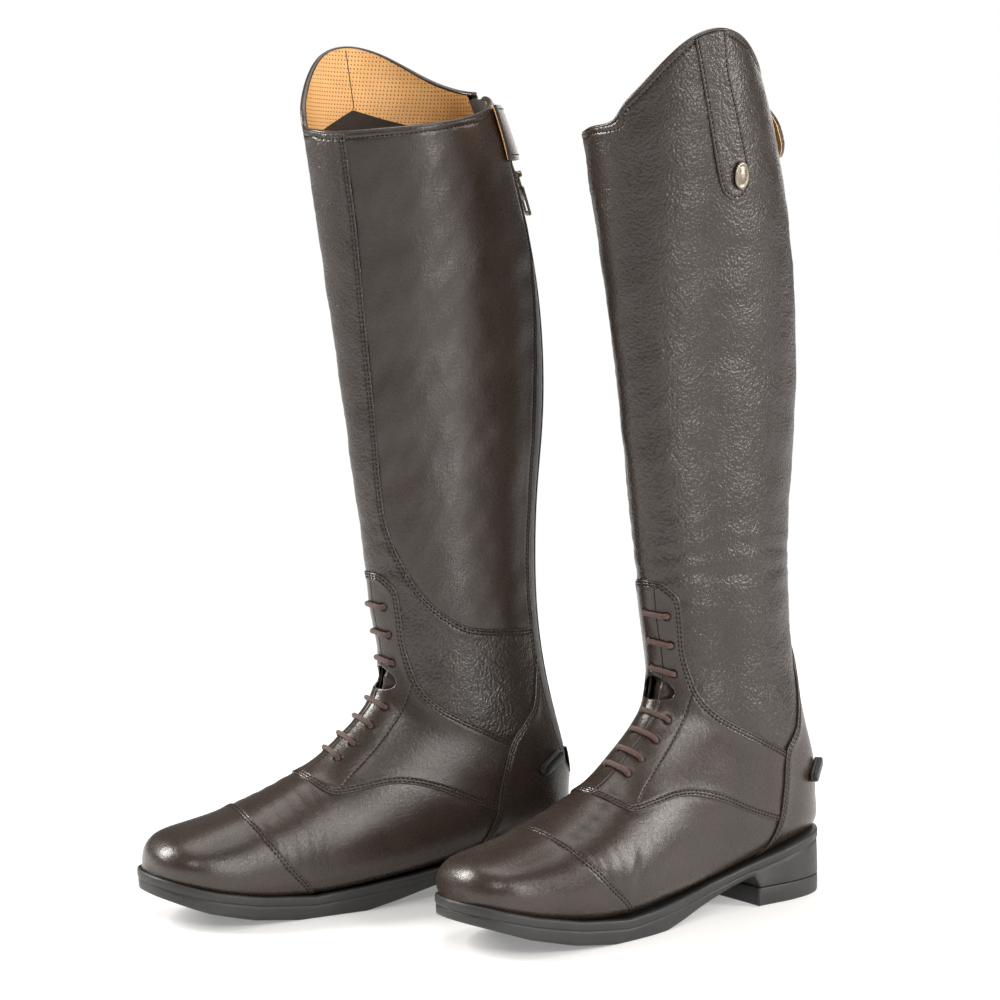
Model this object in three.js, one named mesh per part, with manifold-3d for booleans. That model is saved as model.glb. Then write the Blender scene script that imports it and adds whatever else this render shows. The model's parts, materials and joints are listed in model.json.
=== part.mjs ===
// A pair of long riding boots, in millimetres, +Z up, standing side by side on the ground.
//
// Each boot is drawn in its own frame: x runs forward from the back of the heel to the toe,
// y points to the outer side of the leg, and z is the height above the ground. The skin of the
// boot is a fan of closed rings that turns from the toe, over the instep and round the heel, up
// the shaft. Every leather panel is a piece of that skin, cut along its seams in side view.
import * as THREE from 'three';
import { mergeVertices } from 'three/addons/utils/BufferGeometryUtils.js';
import Module from 'manifold-3d';

const wasm = await Module();
wasm.setup();

// ---- Driving dimensions -------------------------------------------------------------------
const LEATHER = 1.8;               // thickness of the outer leather
const LAYER_GAP = 0.4;             // air left between two layers
const LINING = 0.8;                // thickness of the lining
const SEAM_GAP = 0.4;              // air left between two panels that meet edge to edge
const AROUND = 14;                 // facets round a ring
const ZIP_SLOT = 5;                // half width of the slot that the zip sits in
const ZIP_BOTTOM = 80;             // height where the zip ends above the heel
const TAPE_DEPTH = 4.2;            // how far the zip tape lies under the skin
const SLIDER_HEIGHT = 449;         // height of the slider when the zip is closed
const LACE_RADIUS = 1.25;
const UPPER_LACE_SPAN = 6.5;       // from the front line to a punched hole
const LOWER_LACE_SPAN = 7.8;
const HEEL_BREAST = 65;            // x of the front face of the heel
const TOP_PIECE = 11.5;            // thickness of the replaceable heel top piece
const SOLE_TOE = 281;
const WIDE = 120;                  // wider than the boot, for cutting tools

// The back of the shaft above the ankle is an arc, so that the zip slider can follow it.
const ZIP_ARC = { x: 443, z: 316, radius: 430.6 };

// The two boots: where the heel stands, where the toe points, which side the outer side is on,
// and how far the lacing sits from the middle of the instep.
const PAIR = [
  { name: 'left', x: 189.9, y: 14.5, heading: 218.6, outer: 1, lacing: 5.5 },
  { name: 'right', x: 36.9, y: 30.2, heading: 205.6, outer: -1, lacing: -4 },
];

// Foot and ankle rings: front x and z, back x and z, outer and inner half width, roundness of
// the front and of the back half, and where along the ring it is widest, as seen from the back.
const FOOT_RINGS = [
  [277, 34, 272, 24, 12, 14, 2.0, 2.0, 0.50],
  [275, 46, 262, 21, 24, 28, 2.0, 2.2, 0.45],
  [266, 54, 250, 18, 32, 36, 2.1, 2.6, 0.42],
  [252, 57, 236, 15, 37, 39, 2.2, 3.0, 0.40],
  [232, 61, 215, 12, 41, 39, 2.2, 3.2, 0.38],
  [208, 69, 190, 11, 44, 37.5, 2.1, 3.6, 0.37],
  [185, 79.5, 158, 12, 43, 36, 2.0, 3.8, 0.37],
  [166, 90, 122, 16, 38, 35, 1.95, 3.8, 0.38],
  [150.7, 103, 86, 21, 33.8, 34.8, 1.95, 3.7, 0.42],
  [137.8, 115, 45, 28, 34, 34.3, 1.95, 3.4, 0.46],
  [128.3, 127.8, 1.5, 36.3, 34.3, 34.3, 1.95, 3.1, 0.48],
  [124.3, 139.5, -3, 53, 34, 34, 1.95, 2.6, 0.50],
  [123.7, 152, -4, 76, 33.3, 33.3, 1.95, 2.4, 0.50],
  [125.7, 165, 4, 105, 32, 32, 1.95, 2.25, 0.50],
  [129, 180, 12, 138, 31, 31, 1.95, 2.1, 0.50],
  [131, 197, 17, 172, 31, 31, 2.0, 2.05, 0.50],
  [133, 218, 18.5, 206, 31, 31, 2.0, 2.0, 0.50],
];
// Shaft rings are level: height, front x and half width. The back follows the zip's arc.
const SHAFT_RINGS = [
  [250, 138, 31], [300, 145, 32], [350, 152, 35], [395, 158.5, 40],
  [440, 164.5, 45.5], [480, 170, 50], [530, 175, 54],
];

// Seams and edges in side view, as x and z. They run from front to back or from the top down.
const CAP_OUTER = [[221, 90], [218, 67], [210, 55], [194, 37], [176, 20], [162, 0]];
const CAP_INNER = [[221, 90], [218, 67], [212, 55], [199, 37], [184, 20], [172, 0]];
const VAMP_SEAM = [
  [200, 86], [182, 83], [172, 76], [163, 72.5], [147, 74.5], [130, 77], [114, 75.5],
  [95, 69.5], [78, 62], [60, 55], [38, 48],
];
const SHAFT_SEAM = [
  [150, 206], [131, 205], [125, 201], [120, 194], [117.5, 180], [115, 162], [111, 147],
  [106, 134], [96, 123], [83, 115], [67, 107], [49, 98], [36, 91],
];
const GUARD_SEAM = [
  [158, 500], [157, 472], [148, 415], [135, 312], [130, 263], [126, 236], [118, 213],
  [104, 190], [82, 173], [62, 168.5], [20, 166],
];
const COUNTER_INNER = [
  [84, 10], [70, 30], [60, 50], [57, 70], [50, 95], [40, 108], [31, 119], [27.5, 136], [25, 152],
];
const COUNTER_OUTER = [
  [74, 10], [58, 30], [49, 50], [46, 72], [43, 95], [31, 109], [22, 132], [16, 160], [8, 184],
];
const GUSSET_EDGE = [
  [58, 500], [39, 440], [31, 412], [26, 380], [24.5, 330], [27, 260], [30, 209], [28, 170],
  [25, 146], [16, 106], [5, 78], [-12, 62],
];
const RIM_OUTER = [
  [200, 473], [170, 474], [166.5, 486], [156, 506], [146, 520], [137, 527], [126, 531],
  [115, 531], [101, 526], [87, 518], [75, 510], [64, 504], [50, 499], [20, 497],
];
const RIM_INNER = [
  [200, 473], [170, 474], [165, 472], [155, 472], [139, 473.5], [115, 476], [94, 479.5],
  [72, 485], [58, 492], [50, 498], [20, 497],
];
const FEATHER = [
  [-12, 41], [0, 39.5], [15, 38], [40, 33], [61, 28], [86, 22.5], [115, 18], [146, 15],
  [180, 13], [215, 17], [245, 23], [265, 28], [292, 35],
];
const SOLE_UNDERSIDE = [
  [290, 24], [278, 20], [250, 11], [220, 4], [190, 0], [145, 0], [125, 4], [105, 9],
  [86, 14], [HEEL_BREAST, 19], [HEEL_BREAST + 1.5, TOP_PIECE + SEAM_GAP],
  [-12, TOP_PIECE + SEAM_GAP],
];
const NOTCH = [[150, 148.5], [124, 146], [118.5, 136.5], [123, 132], [150, 134]];
const PULL_STRIP = [
  [144, 535], [131, 493], [123, 467], [116, 446], [111, 436], [103, 432], [95, 435],
  [92, 445], [98, 462], [106, 482], [115, 504], [124, 535],
];
const COLLAR_OUTER = [
  [190, 450], [170, 460], [150, 475], [138, 481], [121, 490], [100, 485], [77, 480], [50, 472],
  [10, 464],
];
const COLLAR_INNER = [
  [190, 450], [170, 458], [150, 457], [128, 466], [100, 455], [70, 446], [10, 440],
];
// Half outlines of the sole seen from above, from the toe back to the heel.
const SOLE_OUTER = [
  [SOLE_TOE, 4], [278, 17], [270, 29], [255, 38], [235, 43.5], [210, 47], [185, 47.5],
  [160, 46], [135, 41.5], [110, 36], [86, 33.5], [61, 34], [35, 35], [14, 31], [1, 21], [-5, 5],
];
const SOLE_INNER = [
  [SOLE_TOE, 4], [277, 19], [268, 32], [255, 39.5], [235, 42.5], [210, 41.5], [185, 39],
  [160, 37.5], [135, 36], [110, 35], [86, 35], [61, 35.5], [35, 35], [14, 31], [1, 21], [-5, 5],
];
// Heights where the elastic cord crosses the front line.
const UPPER_BARS = [185, 168, 151];
const LOWER_BARS = [125, 114, 104, 95.5];

// ---- Materials ----------------------------------------------------------------------------
function material(color, roughness, metalness = 0) {
  return new THREE.MeshStandardMaterial({ color, roughness, metalness });
}
const FINISH = {
  smooth: material(0x4a3a33, 0.42),
  grained: material(0x4b3d35, 0.5),
  tan: material(0xd2a063, 0.8),
  dark: material(0x2a2320, 0.9),
  rubber: material(0x353533, 0.65),
  elastic: material(0x241f1d, 0.85),
  lace: material(0x6d4a3c, 0.75),
  board: material(0x8d7656, 0.9),
  foam: material(0x3a3632, 0.95),
  plastic: material(0xd8d2c4, 0.6),
  steel: material(0x9a9da0, 0.35, 0.9),
  metal: material(0x6f6658, 0.35, 0.9),
};

// ---- Solids and cutting -------------------------------------------------------------------
function toSolid(geometry) {
  let plain = geometry.clone();
  plain.deleteAttribute('normal');
  plain.deleteAttribute('uv');
  plain = mergeVertices(plain, 1e-4);
  const vertProperties = new Float32Array(plain.attributes.position.array);
  const triVerts = new Uint32Array(plain.index.array);
  return new wasm.Manifold(new wasm.Mesh({ numProp: 3, vertProperties, triVerts }));
}

// The largest connected piece of a solid, as a geometry.
function toGeometry(solid) {
  const pieces = solid.decompose().sort((a, b) => b.volume() - a.volume());
  const mesh = pieces[0].getMesh();
  const geometry = new THREE.BufferGeometry();
  const positions = new THREE.BufferAttribute(new Float32Array(mesh.vertProperties), 3);
  geometry.setAttribute('position', positions);
  geometry.setIndex(new THREE.BufferAttribute(new Uint32Array(mesh.triVerts), 1));
  return geometry;
}

// A side view outline pushed out sideways: side 1 is the outer half, -1 the inner, 0 both.
function prism(outline, side = 0) {
  const shape = new THREE.Shape(outline.map(([x, z]) => new THREE.Vector2(x, z)));
  const low = side > 0 ? 0 : -WIDE;
  const high = side < 0 ? 0 : WIDE;
  const geometry = new THREE.ExtrudeGeometry(shape, { depth: high - low, bevelEnabled: false });
  geometry.rotateX(Math.PI / 2);
  geometry.translate(0, high, 0);
  return toSolid(geometry);
}

function box(x0, x1, y0, y1, z0, z1) {
  const geometry = new THREE.BoxGeometry(x1 - x0, y1 - y0, z1 - z0);
  geometry.translate((x0 + x1) / 2, (y0 + y1) / 2, (z0 + z1) / 2);
  return toSolid(geometry);
}

// A thin wall along a seam, which is cut away so that two panels don't touch.
function knife(line, side = 0, width = SEAM_GAP) {
  const left = [];
  const right = [];
  line.forEach(([x, z], i) => {
    const [ax, az] = line[Math.max(i - 1, 0)];
    const [bx, bz] = line[Math.min(i + 1, line.length - 1)];
    const run = Math.hypot(bx - ax, bz - az);
    const nx = (-(bz - az) / run) * (width / 2);
    const nz = ((bx - ax) / run) * (width / 2);
    left.push([x + nx, z + nz]);
    right.unshift([x - nx, z - nz]);
  });
  return prism([...left, ...right], side);
}

// The part of a line whose x lies between two values, in the line's own order.
function stretch(line, low, high) {
  return line.filter(([x]) => x >= low && x <= high);
}

function raised(line, by) {
  return line.map(([x, z]) => [x, z + by]);
}

function reversed(line) {
  return [...line].reverse();
}

// ---- The skin of the boot -----------------------------------------------------------------
function zipArcX(z) {
  return ZIP_ARC.x - Math.sqrt(ZIP_ARC.radius ** 2 - (z - ZIP_ARC.z) ** 2);
}

const RINGS = [
  ...FOOT_RINGS,
  ...SHAFT_RINGS.map(([z, front, half]) => [front, z, zipArcX(z), z, half, half, 2, 2, 0.5]),
];
const LAST = RINGS.length - 1;
// Where along the fan the solids have a ring of corners.
const FANS = [0, 1, 2.5, 4, 5.5, 7, 8.6, 10, 11, 12, 13, 15, 17, 18.3, 19.6, 20.8, 22, 23];

function ringAt(t) {
  const clamped = Math.min(Math.max(t, 0), LAST);
  const i = Math.min(Math.floor(clamped), LAST - 1);
  const k = clamped - i;
  return RINGS[i].map((b, n) => {
    const c = RINGS[i + 1][n];
    const a = i > 0 ? RINGS[i - 1][n] : 2 * b - c;
    const d = i + 2 <= LAST ? RINGS[i + 2][n] : 2 * c - b;
    const bend = 2 * a - 5 * b + 4 * c - d;
    return 0.5 * (2 * b + (c - a) * k + bend * k * k + (3 * b - a - 3 * c + d) * k ** 3);
  });
}

// A point of the skin: t picks the ring, and u runs round it from the front by the outer side.
function skin(t, u) {
  const [fx, fz, bx, bz, outer, inner, frontPower, backPower, split] = ringAt(t);
  const c = Math.cos(u);
  const s = Math.sin(u);
  const power = c >= 0 ? frontPower : backPower;
  const along = split + (c >= 0 ? 1 - split : -split) * Math.abs(c) ** (2 / power);
  const across = Math.sign(s) * Math.abs(s) ** (2 / power) * (s >= 0 ? outer : inner);
  return new THREE.Vector3(bx + (fx - bx) * along, across, bz + (fz - bz) * along);
}

function skinNormal(t, u) {
  const step = 0.02;
  const low = Math.max(t - step, 0);
  const high = Math.min(t + step, LAST);
  const alongFan = skin(high, u).sub(skin(low, u));
  const round = skin(t, u + step).sub(skin(t, u - step));
  return round.cross(alongFan).normalize();
}

// A point above (positive) or below (negative) the skin.
function offsetSkin(t, u, height) {
  return skin(t, u).addScaledVector(skinNormal(t, u), height);
}

function offsetRing(t, height) {
  const ring = [];
  for (let i = 0; i < AROUND; i += 1) {
    ring.push(offsetSkin(t, (i * 2 * Math.PI) / AROUND, height));
  }
  return ring;
}

function centreOf(ring) {
  const sum = ring.reduce((total, p) => total.add(p), new THREE.Vector3());
  return sum.divideScalar(ring.length);
}

// Closed rings joined one to the next, with both ends closed by a fan. From the ring turnAt on,
// the quads are split the other way, so that both faces of a layer have the same creases.
function loft(rings, turnAt = Infinity) {
  const around = rings[0].length;
  const points = rings.flat();
  const index = [];
  for (let r = 0; r < rings.length - 1; r += 1) {
    for (let i = 0; i < around; i += 1) {
      const a = r * around + i;
      const b = r * around + ((i + 1) % around);
      if (r < turnAt) index.push(a, b, b + around, a, b + around, a + around);
      else index.push(a, b, a + around, b, b + around, a + around);
    }
  }
  const first = points.length;
  points.push(centreOf(rings[0]), centreOf(rings[rings.length - 1]));
  const top = (rings.length - 1) * around;
  for (let i = 0; i < around; i += 1) {
    const next = (i + 1) % around;
    index.push(first, next, i, first + 1, top + i, top + next);
  }
  const geometry = new THREE.BufferGeometry().setFromPoints(points);
  geometry.setIndex(index);
  return geometry;
}

function allRings(height) {
  return FANS.map((t) => offsetRing(t, height));
}

// The whole skin between two heights, open at the top like a cup.
function layer(outer, inner) {
  return toSolid(loft([...allRings(outer), ...allRings(inner).reverse()], FANS.length));
}

// Everything inside the skin at one height.
function filled(height) {
  return toSolid(loft(allRings(height)));
}

// The fan position whose ring has its back edge at a given height.
function fanAtBack(z) {
  let low = 9;
  let high = LAST;
  for (let i = 0; i < 40; i += 1) {
    const middle = (low + high) / 2;
    if (ringAt(middle)[3] < z) low = middle;
    else high = middle;
  }
  return (low + high) / 2;
}

// The fan position whose ring has its front edge at a given height.
function fanAtFront(z) {
  let low = 4;
  let high = LAST;
  for (let i = 0; i < 40; i += 1) {
    const middle = (low + high) / 2;
    if (ringAt(middle)[1] < z) low = middle;
    else high = middle;
  }
  return (low + high) / 2;
}

// The angle round a ring at which the skin lies a given distance from the middle.
function angleAt(t, y, atBack) {
  const ring = ringAt(t);
  const half = y >= 0 ? ring[4] : ring[5];
  const power = atBack ? ring[7] : ring[6];
  const angle = Math.asin((Math.abs(y) / half) ** (power / 2));
  const signed = y >= 0 ? angle : -angle;
  return atBack ? Math.PI - signed : signed;
}

// A curved plate over the skin. Columns of points run up the fan, each with its own height.
function plate(fans, angles, low, high) {
  const rings = fans.map((t) => {
    const columns = angles(t);
    const under = columns.map((u, i) => offsetSkin(t, u, low(i / (columns.length - 1))));
    const over = columns.map((u, i) => offsetSkin(t, u, high(i / (columns.length - 1))));
    return [...over, ...under.reverse()];
  });
  return toSolid(loft(rings));
}

function spaced(from, to, count) {
  return Array.from({ length: count + 1 }, (_, i) => from + ((to - from) * i) / count);
}

// ---- Sole unit ----------------------------------------------------------------------------
// The sole's outline as a tall block, narrowed sideways by a factor.
function solePlan(narrowed = 1) {
  const outer = SOLE_OUTER.map(([x, y]) => [x, y]);
  const inner = SOLE_INNER.map(([x, y]) => [x, -y]).reverse();
  const outline = [...outer, ...inner];
  const shape = new THREE.Shape(outline.map(([x, y]) => new THREE.Vector2(x, y)));
  const geometry = new THREE.ExtrudeGeometry(shape, { depth: WIDE, bevelEnabled: false });
  geometry.scale(1, narrowed, 1);
  geometry.translate(0, 0, -1);
  return toSolid(geometry);
}

function outsole() {
  const side = prism([...FEATHER, ...SOLE_UNDERSIDE]);
  return side.intersect(solePlan());
}

function heelTopPiece() {
  const side = prism([[-12, 0], [HEEL_BREAST + 2.5, 0], [HEEL_BREAST + 1.5, TOP_PIECE], [-12, TOP_PIECE]]);
  return side.intersect(solePlan());
}

// A board that fills the boot from wall to wall, from one height above the sole to another.
function bedLayer(cavity, low, high) {
  const band = prism([...raised(FEATHER, low), ...reversed(raised(FEATHER, high))]);
  return cavity.intersect(band);
}

// The open middle of the upper's underside, where the leather is turned in and cut away.
function underfoot() {
  const band = prism([...raised(FEATHER, -8), ...reversed(raised(FEATHER, 5))]);
  return band.intersect(solePlan(0.76)).intersect(box(9, 268, -WIDE, WIDE, 0, 60));
}

function shank() {
  const line = stretch(FEATHER, 30, 150);
  const band = prism([...raised(line, 0.4), ...reversed(raised(line, 1.5))]);
  return band.intersect(box(0, 200, -6, 6, 0, 60));
}

// ---- Upper --------------------------------------------------------------------------------
function aboveSole() {
  return prism([...raised(FEATHER, SEAM_GAP), [292, 560], [-20, 560]]);
}

function zipSlot(halfWidth, bottom) {
  return box(-30, 80, -halfWidth, halfWidth, bottom, 560);
}

function toeCap(leather) {
  const half = (seam, side) => {
    const front = prism([...seam, [300, 0], [300, 90]], side);
    return leather.intersect(front).subtract(knife(seam, side));
  };
  return half(CAP_OUTER, 1).add(half(CAP_INNER, -1));
}

function vampSide(leather, capSeam, counterSeam, side) {
  const outline = [...capSeam, ...counterSeam.filter(([, z]) => z < 50), ...reversed(VAMP_SEAM)];
  const panel = leather.intersect(prism(outline, side));
  return panel.subtract(knife(counterSeam, side)).subtract(knife(capSeam, side));
}

function vamp(leather) {
  const outer = vampSide(leather, CAP_OUTER, COUNTER_OUTER, 1);
  const inner = vampSide(leather, CAP_INNER, COUNTER_INNER, -1);
  return outer.add(inner).subtract(knife(VAMP_SEAM));
}

// A quarter reaches from the vamp seam up round the lacing. The two meet at the front line.
function quarter(leather, counterSeam, side, frontLine, laceHoles) {
  const rear = reversed(counterSeam.filter(([, z]) => z > 52 && z < 97));
  const top = stretch(SHAFT_SEAM, 48, 200);
  const outline = [...top, ...rear, ...reversed(stretch(VAMP_SEAM, 55, 200)), [200, 200]];
  const low = side > 0 ? frontLine + SEAM_GAP : -WIDE;
  const high = side > 0 ? WIDE : frontLine - SEAM_GAP;
  const tools = [knife(SHAFT_SEAM), knife(VAMP_SEAM), knife(counterSeam, side), prism(NOTCH)];
  let panel = leather.intersect(prism(outline)).intersect(box(0, 250, low, high, 0, 300));
  for (const tool of [...tools, ...laceHoles]) {
    panel = panel.subtract(tool);
  }
  return panel;
}

function counter(leather, seam, side) {
  const top = seam[seam.length - 1];
  const outline = [...seam, [-30, top[1]], [-30, 10]];
  let panel = leather.intersect(prism(outline, side)).subtract(knife(seam, side));
  if (side < 0) {
    const behind = prism([...GUSSET_EDGE, [-40, 62], [-40, 500]], -1);
    panel = panel.subtract(behind).subtract(knife(GUSSET_EDGE, -1));
  }
  return panel.subtract(box(-30, 20, -0.2, 0.2, 0, ZIP_BOTTOM + 20));
}

// The grained wrap: the whole outer side, the front, and the ankle under the calf guard.
function shaftPanel(leather) {
  const seam = stretch(SHAFT_SEAM, 48, 200);
  const outerLine = [...seam, ...COUNTER_OUTER.filter(([, z]) => z > 97), [-20, 190]];
  const outer = prism([...outerLine, ...reversed(RIM_OUTER)], 1);
  const innerLine = [...stretch(SHAFT_SEAM, 51, 200), ...COUNTER_INNER.filter(([, z]) => z > 97)];
  const ankle = [...innerLine, [25, 166], ...reversed(GUARD_SEAM).slice(1), [200, 500]];
  const inner = prism(ankle, -1).intersect(prism([...RIM_INNER, [-20, 100], [220, 100]], -1));
  const panel = leather.intersect(outer).add(leather.intersect(inner));
  const cut = panel.subtract(knife(SHAFT_SEAM)).subtract(knife(GUARD_SEAM, -1));
  const behind = prism([...GUSSET_EDGE, [-40, 62], [-40, 500]], -1);
  const trimmed = cut.subtract(behind).subtract(knife(GUSSET_EDGE, -1));
  return trimmed.subtract(knife(COUNTER_OUTER, 1)).subtract(knife(COUNTER_INNER, -1));
}

function calfGuard(leather) {
  const below = prism([...GUARD_SEAM, [-20, 166], [-20, 500]], -1);
  const top = prism([...RIM_INNER, [-20, 100], [220, 100]], -1);
  const behind = prism([...GUSSET_EDGE, [-40, 62], [-40, 500]], -1);
  const panel = leather.intersect(below).intersect(top).subtract(behind);
  return panel.subtract(knife(GUARD_SEAM, -1)).subtract(knife(GUSSET_EDGE, -1));
}

function elasticGusset(leather) {
  const behind = prism([...GUSSET_EDGE, [-40, 62], [-40, 500]], -1);
  const top = prism([...RIM_INNER, [-20, 60], [220, 60]], -1);
  const panel = leather.intersect(behind).intersect(top).subtract(knife(GUSSET_EDGE, -1));
  return panel.subtract(box(-30, 20, -9, 1, 0, ZIP_BOTTOM + 4));
}

// ---- Lining and stiffeners ----------------------------------------------------------------
function rimTop(drop) {
  const outer = prism([...raised(RIM_OUTER, -drop), [-20, 0], [300, 0]], 1);
  const inner = prism([...raised(RIM_INNER, -drop), [-20, 0], [300, 0]], -1);
  return outer.add(inner);
}

function collarLining(liner) {
  const above = (edge, side) => prism([...edge, [10, 560], [190, 560]], side);
  const band = above(COLLAR_OUTER, 1).add(above(COLLAR_INNER, -1));
  return liner.intersect(rimTop(1)).intersect(band).subtract(zipSlot(15, 0));
}

function shaftLining(liner, lacing) {
  const under = (edge, side) => {
    const top = raised(edge, -SEAM_GAP);
    return prism([...top, [-20, 440], [-20, 90], [190, 90]], side);
  };
  const below = under(COLLAR_OUTER, 1).add(under(COLLAR_INNER, -1));
  const front = box(99, 200, lacing - 14, lacing + 14, 85, 210);
  return liner.intersect(below).subtract(front).subtract(zipSlot(15, 0));
}

function heelStiffener() {
  const layerHeight = -(LEATHER + LAYER_GAP);
  const cup = layer(layerHeight, layerHeight - 1.2).intersect(aboveSole()).subtract(underfoot());
  const low = box(-20, 62, -WIDE, WIDE, 0, 88);
  return cup.intersect(low).subtract(zipSlot(15, ZIP_BOTTOM - 8));
}

function toePuff() {
  const layerHeight = -(LEATHER + LAYER_GAP);
  const cup = layer(layerHeight, layerHeight - 1).intersect(aboveSole()).subtract(underfoot());
  return cup.intersect(box(227.5, 300, -WIDE, WIDE, 0, 90));
}

function tongue(lacing) {
  const fans = spaced(fanAtFront(86), fanAtFront(212), 8);
  const angles = (t) => spaced(lacing - 19, lacing + 19, 4).map((y) => angleAt(t, y, false));
  return plate(fans, angles, () => -7.6, () => -6.2);
}

// ---- Laces --------------------------------------------------------------------------------
// One elastic cord: over the front from hole to hole, then under the leather to the next bar.
function laceRoute(bars, lacing) {
  const route = [];
  const span = bars === UPPER_BARS ? UPPER_LACE_SPAN : LOWER_LACE_SPAN;
  const at = (z, y, height) => {
    const t = fanAtFront(z);
    route.push(offsetSkin(t, angleAt(t, y, false), height));
  };
  bars.forEach((z, i) => {
    const hole = span * (i % 2 === 0 ? -1 : 1);
    if (i === 0) at(z + 5, lacing + hole * 1.05, -3.8);
    at(z + 1, lacing + hole * 1.1, -3.4);
    at(z, lacing + hole * 1.05, 0.8);
    at(z, lacing + hole * 0.7, 2.7);
    at(z, lacing, 2.5);
    at(z, lacing - hole * 0.7, 2.7);
    at(z, lacing - hole * 1.05, 0.8);
    at(z - 1, lacing - hole * 1.1, -3.4);
    if (i === bars.length - 1) at(z - 5, lacing - hole * 1.05, -3.8);
  });
  return route;
}

function lace(bars, lacing, radius) {
  const path = new THREE.CatmullRomCurve3(laceRoute(bars, lacing), false, 'centripetal');
  const section = new THREE.Shape();
  section.absarc(0, 0, radius, 0, 2 * Math.PI);
  const steps = bars.length * 8;
  const options = { steps, extrudePath: path, curveSegments: 3, bevelEnabled: false };
  return toSolid(new THREE.ExtrudeGeometry(section, options));
}

// ---- Zip ----------------------------------------------------------------------------------
function zipTape() {
  const lowFan = fanAtBack(ZIP_BOTTOM);
  const fans = [lowFan, ...FANS.filter((t) => t > lowFan + 0.2)];
  const tapeAngles = (t) => [8, 0, -8].map((y) => angleAt(t, y, true));
  const tape = plate(fans, tapeAngles, () => -TAPE_DEPTH - 0.8, () => -TAPE_DEPTH);
  const chainFans = spaced(ZIP_BOTTOM, 486, 16).map(fanAtBack);
  const chainAngles = (t) => [2.4, -2.4].map((y) => angleAt(t, y, true));
  const chain = plate(chainFans, chainAngles, () => -TAPE_DEPTH - 2, () => 0);
  return tape.add(chain).intersect(rimTop(3));
}

// Shapes beside the zip are drawn about the arc's centre: x is the distance outwards from it,
// pointing back, and they are turned up to the height of the closed slider.
function onZip(geometry, height) {
  geometry.rotateY(Math.asin((height - ZIP_ARC.z) / ZIP_ARC.radius));
  geometry.translate(ZIP_ARC.x, 0, ZIP_ARC.z);
  return geometry;
}

function zipBox(out0, out1, halfY, z0, z1, y = 0) {
  const geometry = new THREE.BoxGeometry(out1 - out0, 2 * halfY, z1 - z0);
  geometry.translate(-ZIP_ARC.radius - (out0 + out1) / 2, y, (z0 + z1) / 2);
  return toSolid(onZip(geometry, SLIDER_HEIGHT));
}

function zipPin(radius, halfLength, out, z, sides = 12) {
  const geometry = new THREE.CylinderGeometry(radius, radius, 2 * halfLength, sides);
  geometry.translate(-ZIP_ARC.radius - out, 0, z);
  return toSolid(onZip(geometry, SLIDER_HEIGHT));
}

function zipSlider() {
  const plateBody = zipBox(0.6, 2.2, 4, -7, 7);
  const lugs = zipBox(2, 6, 0.7, -2, 2, 3).add(zipBox(2, 6, 0.7, -2, 2, -3));
  return plateBody.add(lugs).add(zipPin(0.7, 3.4, 4.4, 0));
}

function zipPuller() {
  const eye = zipPin(1.9, 1.9, 4.4, 0, 16);
  const tab = zipBox(3.7, 5.1, 1.9, -8, -1).add(zipBox(3.7, 5.1, 3.8, -27, -7));
  return eye.add(tab).subtract(zipPin(1.1, 5, 4.4, 0)).subtract(zipBox(3, 6, 1.8, -24, -17));
}

// The strap over the top of the zip: stitched on the inner side, free on the outer side.
function snapStrap() {
  const fans = spaced(457, 484, 2).map(fanAtBack);
  const angles = (t) => spaced(20, -32, 9).map((y) => angleAt(t, y, true));
  const rise = (k) => 4.6 - 1.8 * k;
  return plate(fans, angles, rise, (k) => rise(k) + 1.8);
}

// ---- Trim on the surface ------------------------------------------------------------------
// Turns a shape that stands on the xy plane so that it stands on the skin, with its own y up.
function standOn(geometry, t, u, height, lean) {
  const normal = skinNormal(t, u);
  const up = new THREE.Vector3(0, 0, 1).addScaledVector(normal, -normal.z).normalize();
  const across = up.clone().cross(normal);
  const turn = new THREE.Matrix4().makeBasis(across, up, normal);
  geometry.rotateZ(lean);
  geometry.applyMatrix4(turn);
  const at = offsetSkin(t, u, height);
  return geometry.translate(at.x, at.y, at.z);
}

function studProfile(radius, thickness, edge) {
  const rim = [[radius, thickness - edge], [radius - edge, thickness]];
  const profile = [[0, 0], [radius, 0], ...rim, [0, thickness]];
  const lathe = new THREE.LatheGeometry(profile.map(([r, h]) => new THREE.Vector2(r, h)), 16);
  return lathe.rotateX(Math.PI / 2);
}

function pullStrip() {
  return layer(1.7, 0.4).intersect(prism(PULL_STRIP, 1)).intersect(rimTop(2));
}

function badge() {
  const t = fanAtBack(447);
  const oval = studProfile(5.5, 1.5, 0.7).scale(1, 1.5, 1);
  return toSolid(standOn(oval, t, Math.PI - angleAt(t, 46, true) + 0.24, 2.2, 0.12));
}

function pressStud() {
  const t = fanAtBack(470);
  return toSolid(standOn(studProfile(4.5, 1.6, 0.4), t, angleAt(t, 13, true), 0.5, 0));
}

// A rubber ledge on the counter that keeps a spur strap from slipping down.
function spurRest(y, z) {
  const half = { long: 7, high: 3.5 };
  const outline = new THREE.Shape();
  outline.absarc(half.long, 0, half.high, -Math.PI / 2, Math.PI / 2);
  outline.absarc(-half.long, 0, half.high, Math.PI / 2, (3 * Math.PI) / 2);
  const options = { depth: 4.5, bevelEnabled: false, curveSegments: 5 };
  const block = new THREE.ExtrudeGeometry(outline, options);
  const t = fanAtBack(z);
  return toSolid(standOn(block, t, angleAt(t, y, true), 0.5, y > 0 ? 0.5 : -0.5));
}

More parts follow.
